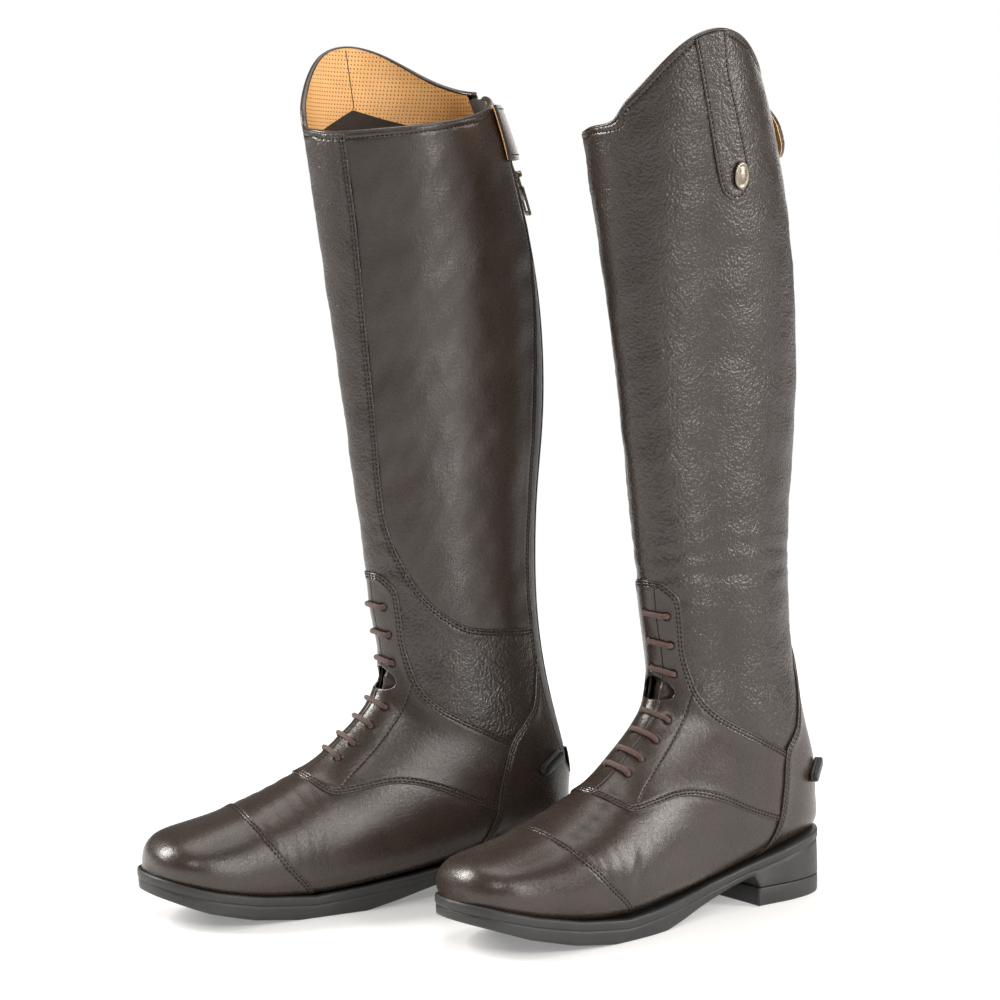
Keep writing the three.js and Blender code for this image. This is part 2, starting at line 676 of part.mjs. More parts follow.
// ---- One boot -----------------------------------------------------------------------------
function bootParts(lacing) {
  const depth = LEATHER + LAYER_GAP;
  const above = aboveSole();
  const skinLayer = layer(0, -LEATHER).intersect(above).subtract(underfoot());
  const leather = skinLayer.subtract(zipSlot(ZIP_SLOT, ZIP_BOTTOM - 3));
  const liner = layer(-depth, -depth - LINING).intersect(above);
  const cavity = filled(-depth - 1.8);
  const frontLine = lacing + 1;
  const fat = LACE_RADIUS + 0.45;
  const holes = [lace(UPPER_BARS, lacing, fat), lace(LOWER_BARS, lacing, fat)];
  return {
    outsole: [outsole(), FINISH.rubber],
    heel_top_piece: [heelTopPiece(), FINISH.rubber],
    shank: [shank(), FINISH.steel],
    insole_board: [bedLayer(cavity, 2, 4), FINISH.board],
    footbed: [bedLayer(cavity, 4.4, 7.6), FINISH.foam],
    toe_puff: [toePuff(), FINISH.plastic],
    heel_stiffener: [heelStiffener(), FINISH.plastic],
    toe_cap: [toeCap(leather), FINISH.smooth],
    vamp: [vamp(leather), FINISH.smooth],
    quarter_outer: [quarter(leather, COUNTER_OUTER, 1, frontLine, holes), FINISH.smooth],
    quarter_inner: [quarter(leather, COUNTER_INNER, -1, frontLine, holes), FINISH.smooth],
    tongue: [tongue(lacing), FINISH.dark],
    upper_lace: [lace(UPPER_BARS, lacing, LACE_RADIUS), FINISH.lace],
    lower_lace: [lace(LOWER_BARS, lacing, LACE_RADIUS), FINISH.lace],
    shaft_panel: [shaftPanel(leather), FINISH.grained],
    calf_guard: [calfGuard(leather), FINISH.smooth],
    counter_outer: [counter(leather, COUNTER_OUTER, 1), FINISH.smooth],
    counter_inner: [counter(leather, COUNTER_INNER, -1), FINISH.smooth],
    elastic_gusset: [elasticGusset(leather), FINISH.elastic],
    shaft_lining: [shaftLining(liner, lacing), FINISH.dark],
    collar_lining: [collarLining(liner), FINISH.tan],
    pull_strip: [pullStrip(), FINISH.grained],
    badge: [badge(), FINISH.metal],
    zip_tape: [zipTape(), FINISH.elastic],
    zip_slider: [zipSlider(), FINISH.metal],
    zip_puller: [zipPuller(), FINISH.metal],
    snap_strap: [snapStrap(), FINISH.smooth],
    press_stud: [pressStud(), FINISH.metal],
    spur_rest_outer: [spurRest(25, 68), FINISH.rubber],
    spur_rest_inner: [spurRest(-29, 65), FINISH.rubber],
  };
}

// A left boot becomes a right one by swapping y, which also turns every face inside out.
function mirrored(geometry) {
  const copy = geometry.clone().scale(1, -1, 1);
  const index = copy.index.array;
  for (let i = 0; i < index.length; i += 3) {
    [index[i + 1], index[i + 2]] = [index[i + 2], index[i + 1]];
  }
  return copy;
}

function boot({ name, x, y, heading, outer, lacing }) {
  const group = new THREE.Group();
  for (const [part, [solid, finish]] of Object.entries(bootParts(lacing))) {
    const geometry = outer > 0 ? toGeometry(solid) : mirrored(toGeometry(solid));
    geometry.computeVertexNormals();
    const mesh = new THREE.Mesh(geometry, finish);
    mesh.name = `${name}_${part}`;
    group.add(mesh);
  }
  group.position.set(x, y, 0);
  group.rotation.z = THREE.MathUtils.degToRad(heading);
  return group;
}

// ---- The pair, with the origin under the middle of its box ---------------------------------
const pair = new THREE.Group();
PAIR.forEach((one) => pair.add(boot(one)));
const extent = new THREE.Box3().setFromObject(pair, true);
const middle = extent.getCenter(new THREE.Vector3());
pair.position.set(-middle.x, -middle.y, 0);

export default pair;
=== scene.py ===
"""The looks of a pair of long riding boots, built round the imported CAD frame.

Each boot is drawn in its own frame in millimetres: x runs from the back of the heel to the toe,
y to the outer side of the leg and z up. The skin is a fan of closed rings, as in the CAD part.
Every leather panel is a piece of a fine mesh of that skin, cut along its seams in side view.
"""
import json
import math

import bpy
import numpy as np
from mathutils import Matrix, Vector


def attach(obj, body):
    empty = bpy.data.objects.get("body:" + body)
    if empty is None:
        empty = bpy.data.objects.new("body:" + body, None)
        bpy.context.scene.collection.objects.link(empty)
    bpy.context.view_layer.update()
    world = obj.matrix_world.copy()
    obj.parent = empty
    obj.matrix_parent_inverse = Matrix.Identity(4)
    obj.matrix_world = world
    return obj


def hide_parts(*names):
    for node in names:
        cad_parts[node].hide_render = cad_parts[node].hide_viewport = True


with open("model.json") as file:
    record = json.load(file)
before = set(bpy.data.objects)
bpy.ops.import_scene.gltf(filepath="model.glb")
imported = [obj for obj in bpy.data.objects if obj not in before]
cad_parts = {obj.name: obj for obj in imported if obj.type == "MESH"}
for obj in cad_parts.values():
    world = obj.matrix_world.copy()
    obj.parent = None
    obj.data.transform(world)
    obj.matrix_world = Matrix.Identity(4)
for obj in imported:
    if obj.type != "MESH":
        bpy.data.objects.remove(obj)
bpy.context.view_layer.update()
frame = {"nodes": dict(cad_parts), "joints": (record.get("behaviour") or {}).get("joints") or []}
MM = 0.001
UP = np.array([0, 0, 1.0])
JOINTS = {j["name"]: j for j in frame["joints"]}

# ---- The skin's rings, as in the CAD part --------------------------------------------------
ARC_X, ARC_Z, ARC_RADIUS = 443.0, 316.0, 430.6
FOOT_RINGS = [
    (277, 34, 272, 24, 12, 14, 2.0, 2.0, 0.50),
    (275, 46, 262, 21, 24, 28, 2.0, 2.2, 0.45),
    (266, 54, 250, 18, 32, 36, 2.1, 2.6, 0.42),
    (252, 57, 236, 15, 37, 39, 2.2, 3.0, 0.40),
    (232, 61, 215, 12, 41, 39, 2.2, 3.2, 0.38),
    (208, 69, 190, 11, 44, 37.5, 2.1, 3.6, 0.37),
    (185, 79.5, 158, 12, 43, 36, 2.0, 3.8, 0.37),
    (166, 90, 122, 16, 38, 35, 1.95, 3.8, 0.38),
    (150.7, 103, 86, 21, 33.8, 34.8, 1.95, 3.7, 0.42),
    (137.8, 115, 45, 28, 34, 34.3, 1.95, 3.4, 0.46),
    (128.3, 127.8, 1.5, 36.3, 34.3, 34.3, 1.95, 3.1, 0.48),
    (124.3, 139.5, -3, 53, 34, 34, 1.95, 2.6, 0.50),
    (123.7, 152, -4, 76, 33.3, 33.3, 1.95, 2.4, 0.50),
    (125.7, 165, 4, 105, 32, 32, 1.95, 2.25, 0.50),
    (129, 180, 12, 138, 31, 31, 1.95, 2.1, 0.50),
    (131, 197, 17, 172, 31, 31, 2.0, 2.05, 0.50),
    (133, 218, 18.5, 206, 31, 31, 2.0, 2.0, 0.50),
]
SHAFT_RINGS = [
    (250, 138, 31), (300, 145, 32), (350, 152, 35), (395, 158.5, 40),
    (440, 164.5, 45.5), (480, 170, 50), (530, 175, 54),
]


def arc_x(z):
    return ARC_X - math.sqrt(ARC_RADIUS ** 2 - (z - ARC_Z) ** 2)


RINGS = np.array(FOOT_RINGS + [(x, z, arc_x(z), z, h, h, 2, 2, 0.5) for z, x, h in SHAFT_RINGS], float)
LAST = len(RINGS) - 1

# Seams in side view, as x and z, as in the CAD part.
CAP_OUTER = [(221, 90), (218, 67), (210, 55), (194, 37), (176, 20), (162, 0)]
CAP_INNER = [(221, 90), (218, 67), (212, 55), (199, 37), (184, 20), (172, 0)]
VAMP_SEAM = [(200, 86), (182, 83), (172, 76), (163, 72.5), (147, 74.5), (130, 77), (114, 75.5),
             (95, 69.5), (78, 62), (60, 55), (38, 48)]
SHAFT_SEAM = [(150, 206), (131, 205), (125, 201), (120, 194), (117.5, 180), (115, 162), (111, 147),
              (106, 134), (96, 123), (83, 115), (67, 107), (49, 98), (36, 91)]
GUARD_SEAM = [(158, 500), (157, 472), (148, 415), (135, 312), (130, 263), (126, 236), (118, 213),
              (104, 190), (82, 173), (62, 168.5), (20, 166)]
COUNTER_INNER = [(84, 10), (70, 30), (60, 50), (57, 70), (50, 95), (40, 108), (31, 119),
                 (27.5, 136), (25, 152)]
COUNTER_OUTER = [(74, 10), (58, 30), (49, 50), (46, 72), (43, 95), (31, 109), (22, 132),
                 (16, 160), (8, 184)]
GUSSET_EDGE = [(58, 500), (39, 440), (31, 412), (26, 380), (24.5, 330), (27, 260), (30, 209),
               (28, 170), (25, 146), (16, 106), (5, 78), (-12, 62)]
RIM_OUTER = [(200, 473), (170, 474), (166.5, 486), (156, 506), (146, 519), (137, 525.5), (126, 528.8),
             (115, 528.8), (101, 525), (87, 517.5), (75, 510), (64, 504), (50, 499), (20, 497)]
RIM_INNER = [(200, 473), (170, 474), (165, 472), (155, 472), (139, 473.5), (115, 476), (94, 479.5),
             (72, 485), (58, 492), (50, 498), (20, 497)]
FEATHER = [(-12, 41), (0, 39.5), (15, 38), (40, 33), (61, 28), (86, 22.5), (115, 18), (146, 15),
           (180, 13), (215, 17), (245, 23), (265, 28), (292, 35)]
NOTCH = [(150, 148.5), (124, 146), (119.5, 140.5),
         (118.5, 136.5), (120, 133.5), (124, 132), (150, 134)]
PULL_STRIP = [(144, 535), (131, 493), (123, 467), (116, 446), (111, 436), (103, 432), (95, 435),
              (92, 445), (98, 462), (106, 482), (115, 504), (124, 535)]
COLLAR_OUTER = [(190, 450), (170, 460), (150, 475), (138, 481), (121, 490), (100, 485), (77, 480), (50, 472),
                (10, 464)]
COLLAR_INNER = [(190, 450), (170, 458), (150, 457), (128, 466), (100, 455), (70, 446), (10, 440)]
FACING_ROW = [(109, 142), (112, 132), (117, 120), (129, 105), (143, 91.5), (154, 82), (166, 71)]
UPPER_BARS = (185, 168, 151)
LOWER_BARS = (125, 114, 104, 95.5)
ZIP_BOTTOM = 80.0
ZIP_HALF = 5.0


def catmull(table, t):
    """The table's rows as a smooth curve, read at t."""
    table = np.asarray(table, float)
    t = np.clip(np.asarray(t, float), 0, len(table) - 1)
    i = np.minimum(t.astype(int), len(table) - 2)
    k = (t - i)[:, None]
    rows = np.vstack([2 * table[:1] - table[1:2], table, 2 * table[-1:] - table[-2:-1]])
    a, b, c, d = (rows[i + n] for n in range(4))
    return 0.5 * (2 * b + (c - a) * k + (2 * a - 5 * b + 4 * c - d) * k ** 2 + (3 * b - a - 3 * c + d) * k ** 3)


def normalized(v):
    return v / np.maximum(np.linalg.norm(v, axis=-1, keepdims=True), 1e-12)


def run_length(points):
    """How far along a line of points each of them lies."""
    return np.concatenate([[0], np.cumsum(np.linalg.norm(np.diff(points, axis=0), axis=1))])


def read_along(at, run, rows):
    """The rows, which lie at the lengths run, read at other lengths."""
    return np.stack([np.interp(at, run, column) for column in np.transpose(rows)], 1)


def bell(reach, width):
    """Smoothing weights from -reach to reach."""
    weights = np.exp(-0.5 * (np.arange(-reach, reach + 1) / width) ** 2)
    return weights / weights.sum()


def angles(count):
    return np.arange(count) * 2 * np.pi / count


# ---- The skin as a smooth surface over t (fan) and v (round it) ----------------------------
# v is 0 at the front, 1 or -1 at the back, positive on the outer side, even along the ring.
class Skin:
    """Rows of points and normals round the boot, read between them with cubic weights."""

    PER_RING = 12
    COLUMNS = 240
    FINE = 4801
    TOE_WAY = np.array([0.894, 0, -0.447])
    TOE_BULGE = 3

    def __init__(self):
        count = (LAST + 1) * self.PER_RING + 1
        t = np.arange(count) / self.PER_RING - 1
        rows = self.smoothed(np.array([self.ring(x) for x in t]))
        rows = np.concatenate([rows[:, -3:-1], rows, rows[:, 1:3]], 1)
        rows = np.concatenate([2 * rows[:1] - rows[1:2], rows, 2 * rows[-1:] - rows[-2:-1]], 0)
        along = np.gradient(rows, axis=0)
        normals = normalized(np.cross(np.gradient(rows, axis=1), along))
        normals[:2] = normals[2]
        self.data = np.concatenate([rows, normals], 2)
        self.rows = count

    def ring(self, t):
        fx, fz, bx, bz, outer, inner, nf, nb, split = catmull(RINGS, [max(t, 0)])[0]
        a = np.linspace(-np.pi, np.pi, self.FINE)
        c, s = np.cos(a), np.sin(a)
        power = np.where(c >= 0, nf, nb)
        along = split + np.where(c >= 0, 1 - split, -split) * np.abs(c) ** (2 / power)
        across = np.sign(s) * np.abs(s) ** (2 / power) * np.where(s >= 0, outer, inner)
        p = np.stack([bx + (fx - bx) * along, across, bz + (fz - bz) * along], 1)
        half = len(a) // 2
        want = np.linspace(-1, 1, self.COLUMNS + 1)
        out = np.zeros((len(want), 3))
        for low, high, base in ((0, half, -1), (half, len(a) - 1, 0)):
            q = p[low:high + 1]
            run = run_length(q)
            here = (want >= base) & (want <= base + 1)
            out[here] = read_along(want[here] - base, run / run[-1], q)
        if t < 0:
            centre = out.mean(0)
            angle = -t * math.pi / 2
            out = centre + (out - centre) * math.cos(angle) + self.TOE_WAY * self.TOE_BULGE * math.sin(angle)
        return out

    def smoothed(self, rows, width=4):
        n = 3 * width
        kernel = bell(n, width)
        first = self.PER_RING
        body = rows[first:]
        pad = np.concatenate([2 * body[:1] - body[n:0:-1], body, 2 * body[-1:] - body[-2:-n - 2:-1]])
        out = sum(kernel[i] * pad[i:i + len(body)] for i in range(2 * n + 1))
        return np.concatenate([rows[:first], out])

    def __call__(self, tv):
        tv = np.asarray(tv, float)
        r = np.clip((tv[:, 0] + 1) * self.PER_RING, 0, self.rows - 1) + 1
        c = ((tv[:, 1] + 1) % 2) / 2 * self.COLUMNS + 2
        ri = np.minimum(r.astype(int), self.rows - 1)
        ci = c.astype(int)
        wr, wc = self.weights(r - ri), self.weights(c - ci)
        out = np.zeros((len(tv), 6))
        for i in range(4):
            for j in range(4):
                rr = np.clip(ri + i - 1, 0, self.rows + 1)
                out += (wr[i] * wc[j])[:, None] * self.data[rr, ci + j - 1]
        return out[:, :3], normalized(out[:, 3:])

    @staticmethod
    def weights(k):
        return (0.5 * (-k + 2 * k ** 2 - k ** 3), 0.5 * (2 - 5 * k ** 2 + 3 * k ** 3),
                0.5 * (k + 4 * k ** 2 - 3 * k ** 3), 0.5 * (-k ** 2 + k ** 3))


SKIN = Skin()


# An edge of the rings: the column of its height in RINGS, and the ring it starts to rise from.
FRONT, BACK = (1, 4), (3, 9)


def fan_at(z, edge):
    """The fan position whose ring has its front or back edge at height z."""
    column, first = edge
    t = np.linspace(first, LAST, 4000)
    heights = catmull(RINGS, t)[:, column]
    return float(t[np.argmax(heights >= z)]) if z < heights.max() else float(LAST)


def locate(point):
    """The t and v of the skin's nearest place to a point."""
    grid = SKIN.data[1:-1, 2:-2, :3]
    near = np.linalg.norm(grid - np.array(point), axis=2)
    r, c = np.unravel_index(np.argmin(near), near.shape)
    return np.array([r / SKIN.PER_RING - 1, c / SKIN.COLUMNS * 2 - 1])


# ---- Seams as signed distances -------------------------------------------------------------
class Line:
    """A seam in side view. Its distance is positive on the side of the point plus."""
    X0, Z0, STEP = -60.0, -30.0, 1.25
    NX, NZ = 304, 496
    REACH = 400
    CHUNK = 30000

    def __init__(self, points, plus, closed=False, smooth=True):
        points = np.array(points, float)
        if closed:
            points = np.vstack([points, points[:1]])
        if smooth:
            points = catmull(points, np.linspace(0, len(points) - 1, (len(points) - 1) * 8 + 1))
        if not closed:
            first = points[0] + normalized(points[0] - points[1]) * self.REACH
            last = points[-1] + normalized(points[-1] - points[-2]) * self.REACH
            points = np.vstack([first, points, last])
        x = self.X0 + self.STEP * np.arange(self.NX)
        z = self.Z0 + self.STEP * np.arange(self.NZ)
        grid = np.stack(np.meshgrid(x, z, indexing="ij"), -1).reshape(-1, 2)
        a, d = points[:-1], np.diff(points, axis=0)
        value = np.empty(len(grid))
        for start in range(0, len(grid), self.CHUNK):
            g = grid[start:start + self.CHUNK]
            rel = g[:, None] - a[None]
            share = np.clip((rel * d).sum(2) / (d * d).sum(1), 0, 1)
            off = rel - share[..., None] * d
            dist = np.hypot(off[..., 0], off[..., 1])
            near = dist.argmin(1)
            row = np.arange(len(g))
            side = np.sign(d[near, 0] * rel[row, near, 1] - d[near, 1] * rel[row, near, 0])
            value[start:start + self.CHUNK] = dist[row, near] * np.where(side == 0, 1, side)
        if closed:
            value = np.abs(value) * np.where(self.inside(grid, points), 1, -1)
        f = value.reshape(self.NX, self.NZ)
        gx, gz = np.gradient(f, self.STEP)
        self.data = np.stack([f, gx, gz], -1)
        if self.read(np.array([plus], float))[0, 0] < 0:
            self.data = -self.data

    @staticmethod
    def inside(grid, loop):
        odd = np.zeros(len(grid), bool)
        for (x0, z0), (x1, z1) in zip(loop[:-1], loop[1:]):
            if z0 == z1:
                continue
            span = (grid[:, 1] < max(z0, z1)) & (grid[:, 1] >= min(z0, z1))
            odd ^= span & (grid[:, 0] < x0 + (grid[:, 1] - z0) * (x1 - x0) / (z1 - z0))
        return odd

    def read(self, xz):
        a = np.clip((xz[:, 0] - self.X0) / self.STEP, 0, self.NX - 1.001)
        b = np.clip((xz[:, 1] - self.Z0) / self.STEP, 0, self.NZ - 1.001)
        i, j = a.astype(int), b.astype(int)
        p, q = (a - i)[:, None], (b - j)[:, None]
        return ((1 - p) * (1 - q) * self.data[i, j] + p * (1 - q) * self.data[i + 1, j]
                + (1 - p) * q * self.data[i, j + 1] + p * q * self.data[i + 1, j + 1])

    def __call__(self, P, N):
        f, gx, gz = self.read(P[:, [0, 2]]).T
        tilt = (gx * N[:, 0] + gz * N[:, 2]) / np.maximum(np.hypot(gx, gz), 1e-6)
        return f / foreshortening(tilt)


def foreshortening(tilt):
    """How much of a step along the skin shows, where the normal leans that far along the step."""
    return np.sqrt(np.maximum(1 - tilt ** 2, 0.05))


def beyond(y, sign):
    """A distance that is positive where sign * (y - the given y) is."""
    return lambda P, N: sign * (P[:, 1] - y) / foreshortening(N[:, 1])


def by_side(outer, inner):
    return lambda P, N: np.where(P[:, 1] > 0, outer(P, N), inner(P, N))


def minus(field):
    return lambda P, N: -field(P, N)


def outside_inner(field, far=60.0):
    """The distance outside a field of the inner side, and far away on the outer side."""
    return by_side(lambda P, N: np.full(len(P), far), minus(field))


def zip_gap(P, N):
    """Distance outside the zip's slot, which is open above its bottom."""
    side = np.abs(P[:, 1]) - ZIP_HALF
    below = ZIP_BOTTOM - P[:, 2]
    front = P[:, 0] - 90
    return np.maximum(np.maximum(side, below), front)


CAP = by_side(Line(CAP_OUTER, (260, 40)), Line(CAP_INNER, (260, 40)))
VAMP = Line(VAMP_SEAM, (110, 120))
SHAFT = Line(SHAFT_SEAM, (60, 300))
GUARD = Line(GUARD_SEAM, (60, 300))
COUNTER = by_side(Line(COUNTER_OUTER, (5, 60)), Line(COUNTER_INNER, (10, 60)))
GUSSET = Line(GUSSET_EDGE, (0, 300))
RIM = by_side(Line(RIM_OUTER, (100, 300)), Line(RIM_INNER, (100, 300)))
SOLE_EDGE = Line(FEATHER, (100, 300))
NOTCH_EDGE = Line(NOTCH, (140, 137), closed=True, smooth=False)
PULL_EDGE = Line(PULL_STRIP, (110, 480), closed=True)
COLLAR = by_side(Line(COLLAR_OUTER, (100, 560), smooth=False), Line(COLLAR_INNER, (100, 560)))
FACING = Line(FACING_ROW, (140, 105))


# ---- A piece of the skin as triangles, cut along lines -------------------------------------
def edges_of(tris):
    return np.concatenate([tris[:, [0, 1]], tris[:, [1, 2]], tris[:, [2, 0]]])


def edge_key(a, b, n):
    """One number for the edge between two corners, whichever comes first."""
    return np.minimum(a, b).astype(np.int64) * n + np.maximum(a, b)


class Patch:
    """Triangles over places of t and v. A locked corner isn't moved by a later cut."""

    SNAP = 0.2

    def __init__(self, tv, tris, locked):
        self.tv, self.tris = tv, tris
        self.locked = np.full(len(tv), locked)
        self.P, self.N = SKIN(tv)

    def copy(self):
        other = object.__new__(Patch)
        other.__dict__ = {k: v.copy() for k, v in self.__dict__.items()}
        return other

    def cut(self, field, level=0.0, keep=0, where=None):
        """Puts an edge along field = level, and keeps the side above (1), below (-1) or both (0).
        With where, only triangles with a corner there are cut."""
        f = field(self.P, self.N) - level
        if keep:
            self.tris = self.tris[(f[self.tris] * keep).max(1) > 0]
        span = f[self.tris]
        hit = (span.min(1) < 0) & (span.max(1) > 0)
        if where is not None:
            hit &= where(self.P)[self.tris].any(1)
        near = self.tris[hit]
        if len(near):
            if where is None:
                self.snap(f, self.crossing(near, f))
            x = self.crossing(near, f)
            x = x[f[x[:, 0]] * f[x[:, 1]] < 0]
            if len(x):
                f = self.split(field, level, f, x)
        if keep:
            self.tris = self.tris[(f[self.tris] * keep).sum(1) > 0]

    @staticmethod
    def crossing(tris, f):
        e = np.unique(np.sort(edges_of(tris), 1), axis=0)
        return e[f[e[:, 0]] * f[e[:, 1]] < 0]

    def snap(self, f, x):
        fa, fb = f[x[:, 0]], f[x[:, 1]]
        s = fa / (fa - fb)
        at = self.tv[x[:, 0]] + (self.tv[x[:, 1]] - self.tv[x[:, 0]]) * s[:, None]
        for end, share in ((0, s), (1, 1 - s)):
            ok = (share < self.SNAP) & ~self.locked[x[:, end]]
            order = np.argsort(-share[ok], kind="stable")
            who = x[ok, end][order]
            if len(who):
                self.tv[who] = at[ok][order]
                f[who] = 0
                self.locked[who] = True
                who = np.unique(who)
                self.P[who], self.N[who] = SKIN(self.tv[who])

    def split(self, field, level, f, x):
        a, b = self.tv[x[:, 0]], self.tv[x[:, 1]]
        fa, fb = f[x[:, 0]], f[x[:, 1]]
        s = fa / (fa - fb)
        for _ in range(2):
            tv = a + (b - a) * s[:, None]
            P, N = SKIN(tv)
            fs = field(P, N) - level
            low = fa * fs > 0
            good = np.abs(fs) > 1e-6
            with np.errstate(divide="ignore", invalid="ignore"):
                up = s + (1 - s) * fs / (fs - fb)
                down = s * fa / (fa - fs)
            s = np.where(good, np.where(low, up, down), s)
        tv = a + (b - a) * s[:, None]
        P, N = SKIN(tv)
        n = len(self.tv)
        self.tv = np.vstack([self.tv, tv])
        self.P, self.N = np.vstack([self.P, P]), np.vstack([self.N, N])
        self.locked = np.concatenate([self.locked, np.ones(len(x), bool)])
        f = np.concatenate([f, np.zeros(len(x))])
        keys = edge_key(*x.T, n)
        order = np.argsort(keys)
        keys = keys[order]

        def new_vertex(p, q):
            k = edge_key(p, q, n)
            i = np.minimum(np.searchsorted(keys, k), len(keys) - 1)
            return np.where(keys[i] == k, n + order[i], -1)

        tri = self.tris
        K = np.stack([new_vertex(tri[:, i], tri[:, (i + 1) % 3]) for i in range(3)], 1)
        count = (K >= 0).sum(1)
        made = [tri[count == 0]]
        one = np.where(count == 1)[0]
        i = K[one].argmax(1)
        z, p, q, m = tri[one, (i + 2) % 3], tri[one, i], tri[one, (i + 1) % 3], K[one, i]
        made += [np.stack([z, p, m], 1), np.stack([z, m, q], 1)]
        two = np.where(count == 2)[0]
        i = K[two].argmin(1)
        p, q, lone = tri[two, i], tri[two, (i + 1) % 3], tri[two, (i + 2) % 3]
        mq, mp = K[two, (i + 1) % 3], K[two, (i + 2) % 3]
        made += [np.stack([lone, mp, mq], 1), np.stack([p, q, mq], 1), np.stack([p, mq, mp], 1)]
        self.tris = np.concatenate(made)
        return f

    def compact(self):
        used = np.unique(self.tris)
        index = np.full(len(self.tv), -1)
        index[used] = np.arange(len(used))
        self.tris = index[self.tris]
        self.tv, self.P, self.N, self.locked = (x[used] for x in (self.tv, self.P, self.N, self.locked))
        return self

    def rim_edges(self):
        """The open edges, each in its own triangle's direction."""
        e = edges_of(self.tris)
        _, first, counts = np.unique(edge_key(*e.T, len(self.tv)), return_index=True, return_counts=True)
        return e[first[counts == 1]]

    def lines(self, field, level):
        """The runs of t and v along field = level."""
        f = field(self.P, self.N) - level - 1e-3
        span = f[self.tris]
        tri = self.tris[(span.min(1) < 0) & (span.max(1) > 0)]
        n = len(self.tv)
        links, places = {}, {}
        for a, b, c in tri:
            ends = []
            for p, q in ((a, b), (b, c), (c, a)):
                if f[p] * f[q] < 0:
                    p, q = min(p, q), max(p, q)
                    key = int(p) * n + int(q)
                    places[key] = (p, q)
                    ends.append(key)
            if len(ends) == 2:
                links.setdefault(ends[0], []).append(ends[1])
                links.setdefault(ends[1], []).append(ends[0])
        runs, left = [], set(links)
        while left:
            free = [k for k in left if len(links[k]) == 1]
            here = min(free) if free else min(left)
            run = [here]
            left.discard(here)
            while True:
                step = [k for k in links[here] if k in left]
                if not step:
                    break
                here = step[0]
                left.discard(here)
                run.append(here)
            if len(run) > 2:
                p = np.array([places[k] for k in run])
                s = f[p[:, 0]] / (f[p[:, 0]] - f[p[:, 1]])
                runs.append(self.tv[p[:, 0]] + (self.tv[p[:, 1]] - self.tv[p[:, 0]]) * s[:, None])
        return runs


def spacing(step):
    """Fan positions whose rings are at most one step apart at the front and at the back."""
    t = np.linspace(-1, LAST, 6000)
    p = np.concatenate([SKIN(np.stack([t, np.full(len(t), v)], 1))[0] for v in (0.0, 1.0)], 1)
    d = np.diff(p, axis=0)
    run = np.maximum(np.linalg.norm(d[:, :3], axis=1), np.linalg.norm(d[:, 3:], axis=1) * 0.8)
    total = np.concatenate([[0], np.cumsum(run)])
    return np.interp(np.linspace(0, total[-1], int(total[-1] / step)), total, t)


def fine_mesh(t, v):
    """A patch over a grid of t and v, with diagonals that alternate."""
    a = (np.arange(len(t) - 1)[:, None] * len(v) + np.arange(len(v) - 1)[None]).ravel()
    b, c, d = a + 1, a + len(v) + 1, a + len(v)
    odd = (np.arange(len(a)) + np.arange(len(a)) // (len(v) - 1)) % 2 == 0
    one = np.where(odd[:, None], np.stack([a, b, c], 1), np.stack([a, b, d], 1))
    two = np.where(odd[:, None], np.stack([a, c, d], 1), np.stack([b, c, d], 1))
    return Patch(np.stack(np.meshgrid(t, v, indexing="ij"), -1).reshape(-1, 2), np.concatenate([one, two]), False)


BASE = fine_mesh(spacing(3.0), np.linspace(-1, 1, 120))


# ---- Materials -----------------------------------------------------------------------------
class Nodes:
    """A short way to write a node tree. Links go in as keyword inputs."""

    def __init__(self, name):
        self.material = bpy.data.materials.new(name)
        self.material.use_nodes = True
        self.tree = self.material.node_tree
        self.shader = self.tree.nodes["Principled BSDF"]
        self.place = self.add("ShaderNodeTexCoord").outputs["Object"]

    def add(self, kind, settings=None, **inputs):
        node = self.tree.nodes.new(kind)
        for key, value in (settings or {}).items():
            setattr(node, key, value)
        for key, value in inputs.items():
            numbered = key[0] == "i" and key[1:].isdigit()
            self.put(node.inputs[int(key[1:]) if numbered else key.replace("_", " ")], value)
        return node

    def put(self, socket, value):
        if isinstance(value, bpy.types.NodeSocket):
            self.tree.links.new(value, socket)
        else:
            socket.default_value = value

    def set(self, **inputs):
        for key, value in inputs.items():
            self.put(self.shader.inputs[key.replace("_", " ")], value)

    def noise(self, scale, detail, roughness=0.55):
        node = self.add("ShaderNodeTexNoise", Vector=self.place, Scale=scale, Detail=detail, Roughness=roughness)
        return node.outputs["Fac"]

    def voronoi(self, scale, vector=None, feature="F1"):
        node = self.add("ShaderNodeTexVoronoi", {"feature": feature}, Vector=vector or self.place, Scale=scale)
        return node.outputs["Distance"]

    def ramp(self, value, low, high, a=0.0, b=1.0):
        node = self.add("ShaderNodeMapRange", Value=value)
        node.inputs[1].default_value, node.inputs[2].default_value = low, high
        node.inputs[3].default_value, node.inputs[4].default_value = a, b
        return node.outputs[0]

    def mix(self, share, a, b):
        node = self.add("ShaderNodeMix", {"data_type": "RGBA"})
        self.put(node.inputs[0], share)
        self.put(node.inputs[6], (*a, 1) if isinstance(a, tuple) else a)
        self.put(node.inputs[7], (*b, 1) if isinstance(b, tuple) else b)
        return node.outputs[2]

    def math(self, kind, a, b):
        node = self.add("ShaderNodeMath", {"operation": kind})
        self.put(node.inputs[0], a)
        self.put(node.inputs[1], b)
        return node.outputs[0]

    def bump(self, height, strength, distance, normal=None):
        node = self.add("ShaderNodeBump", Height=height, Strength=strength, Distance=distance)
        if normal is not None:
            self.put(node.inputs["Normal"], normal)
        return node.outputs[0]


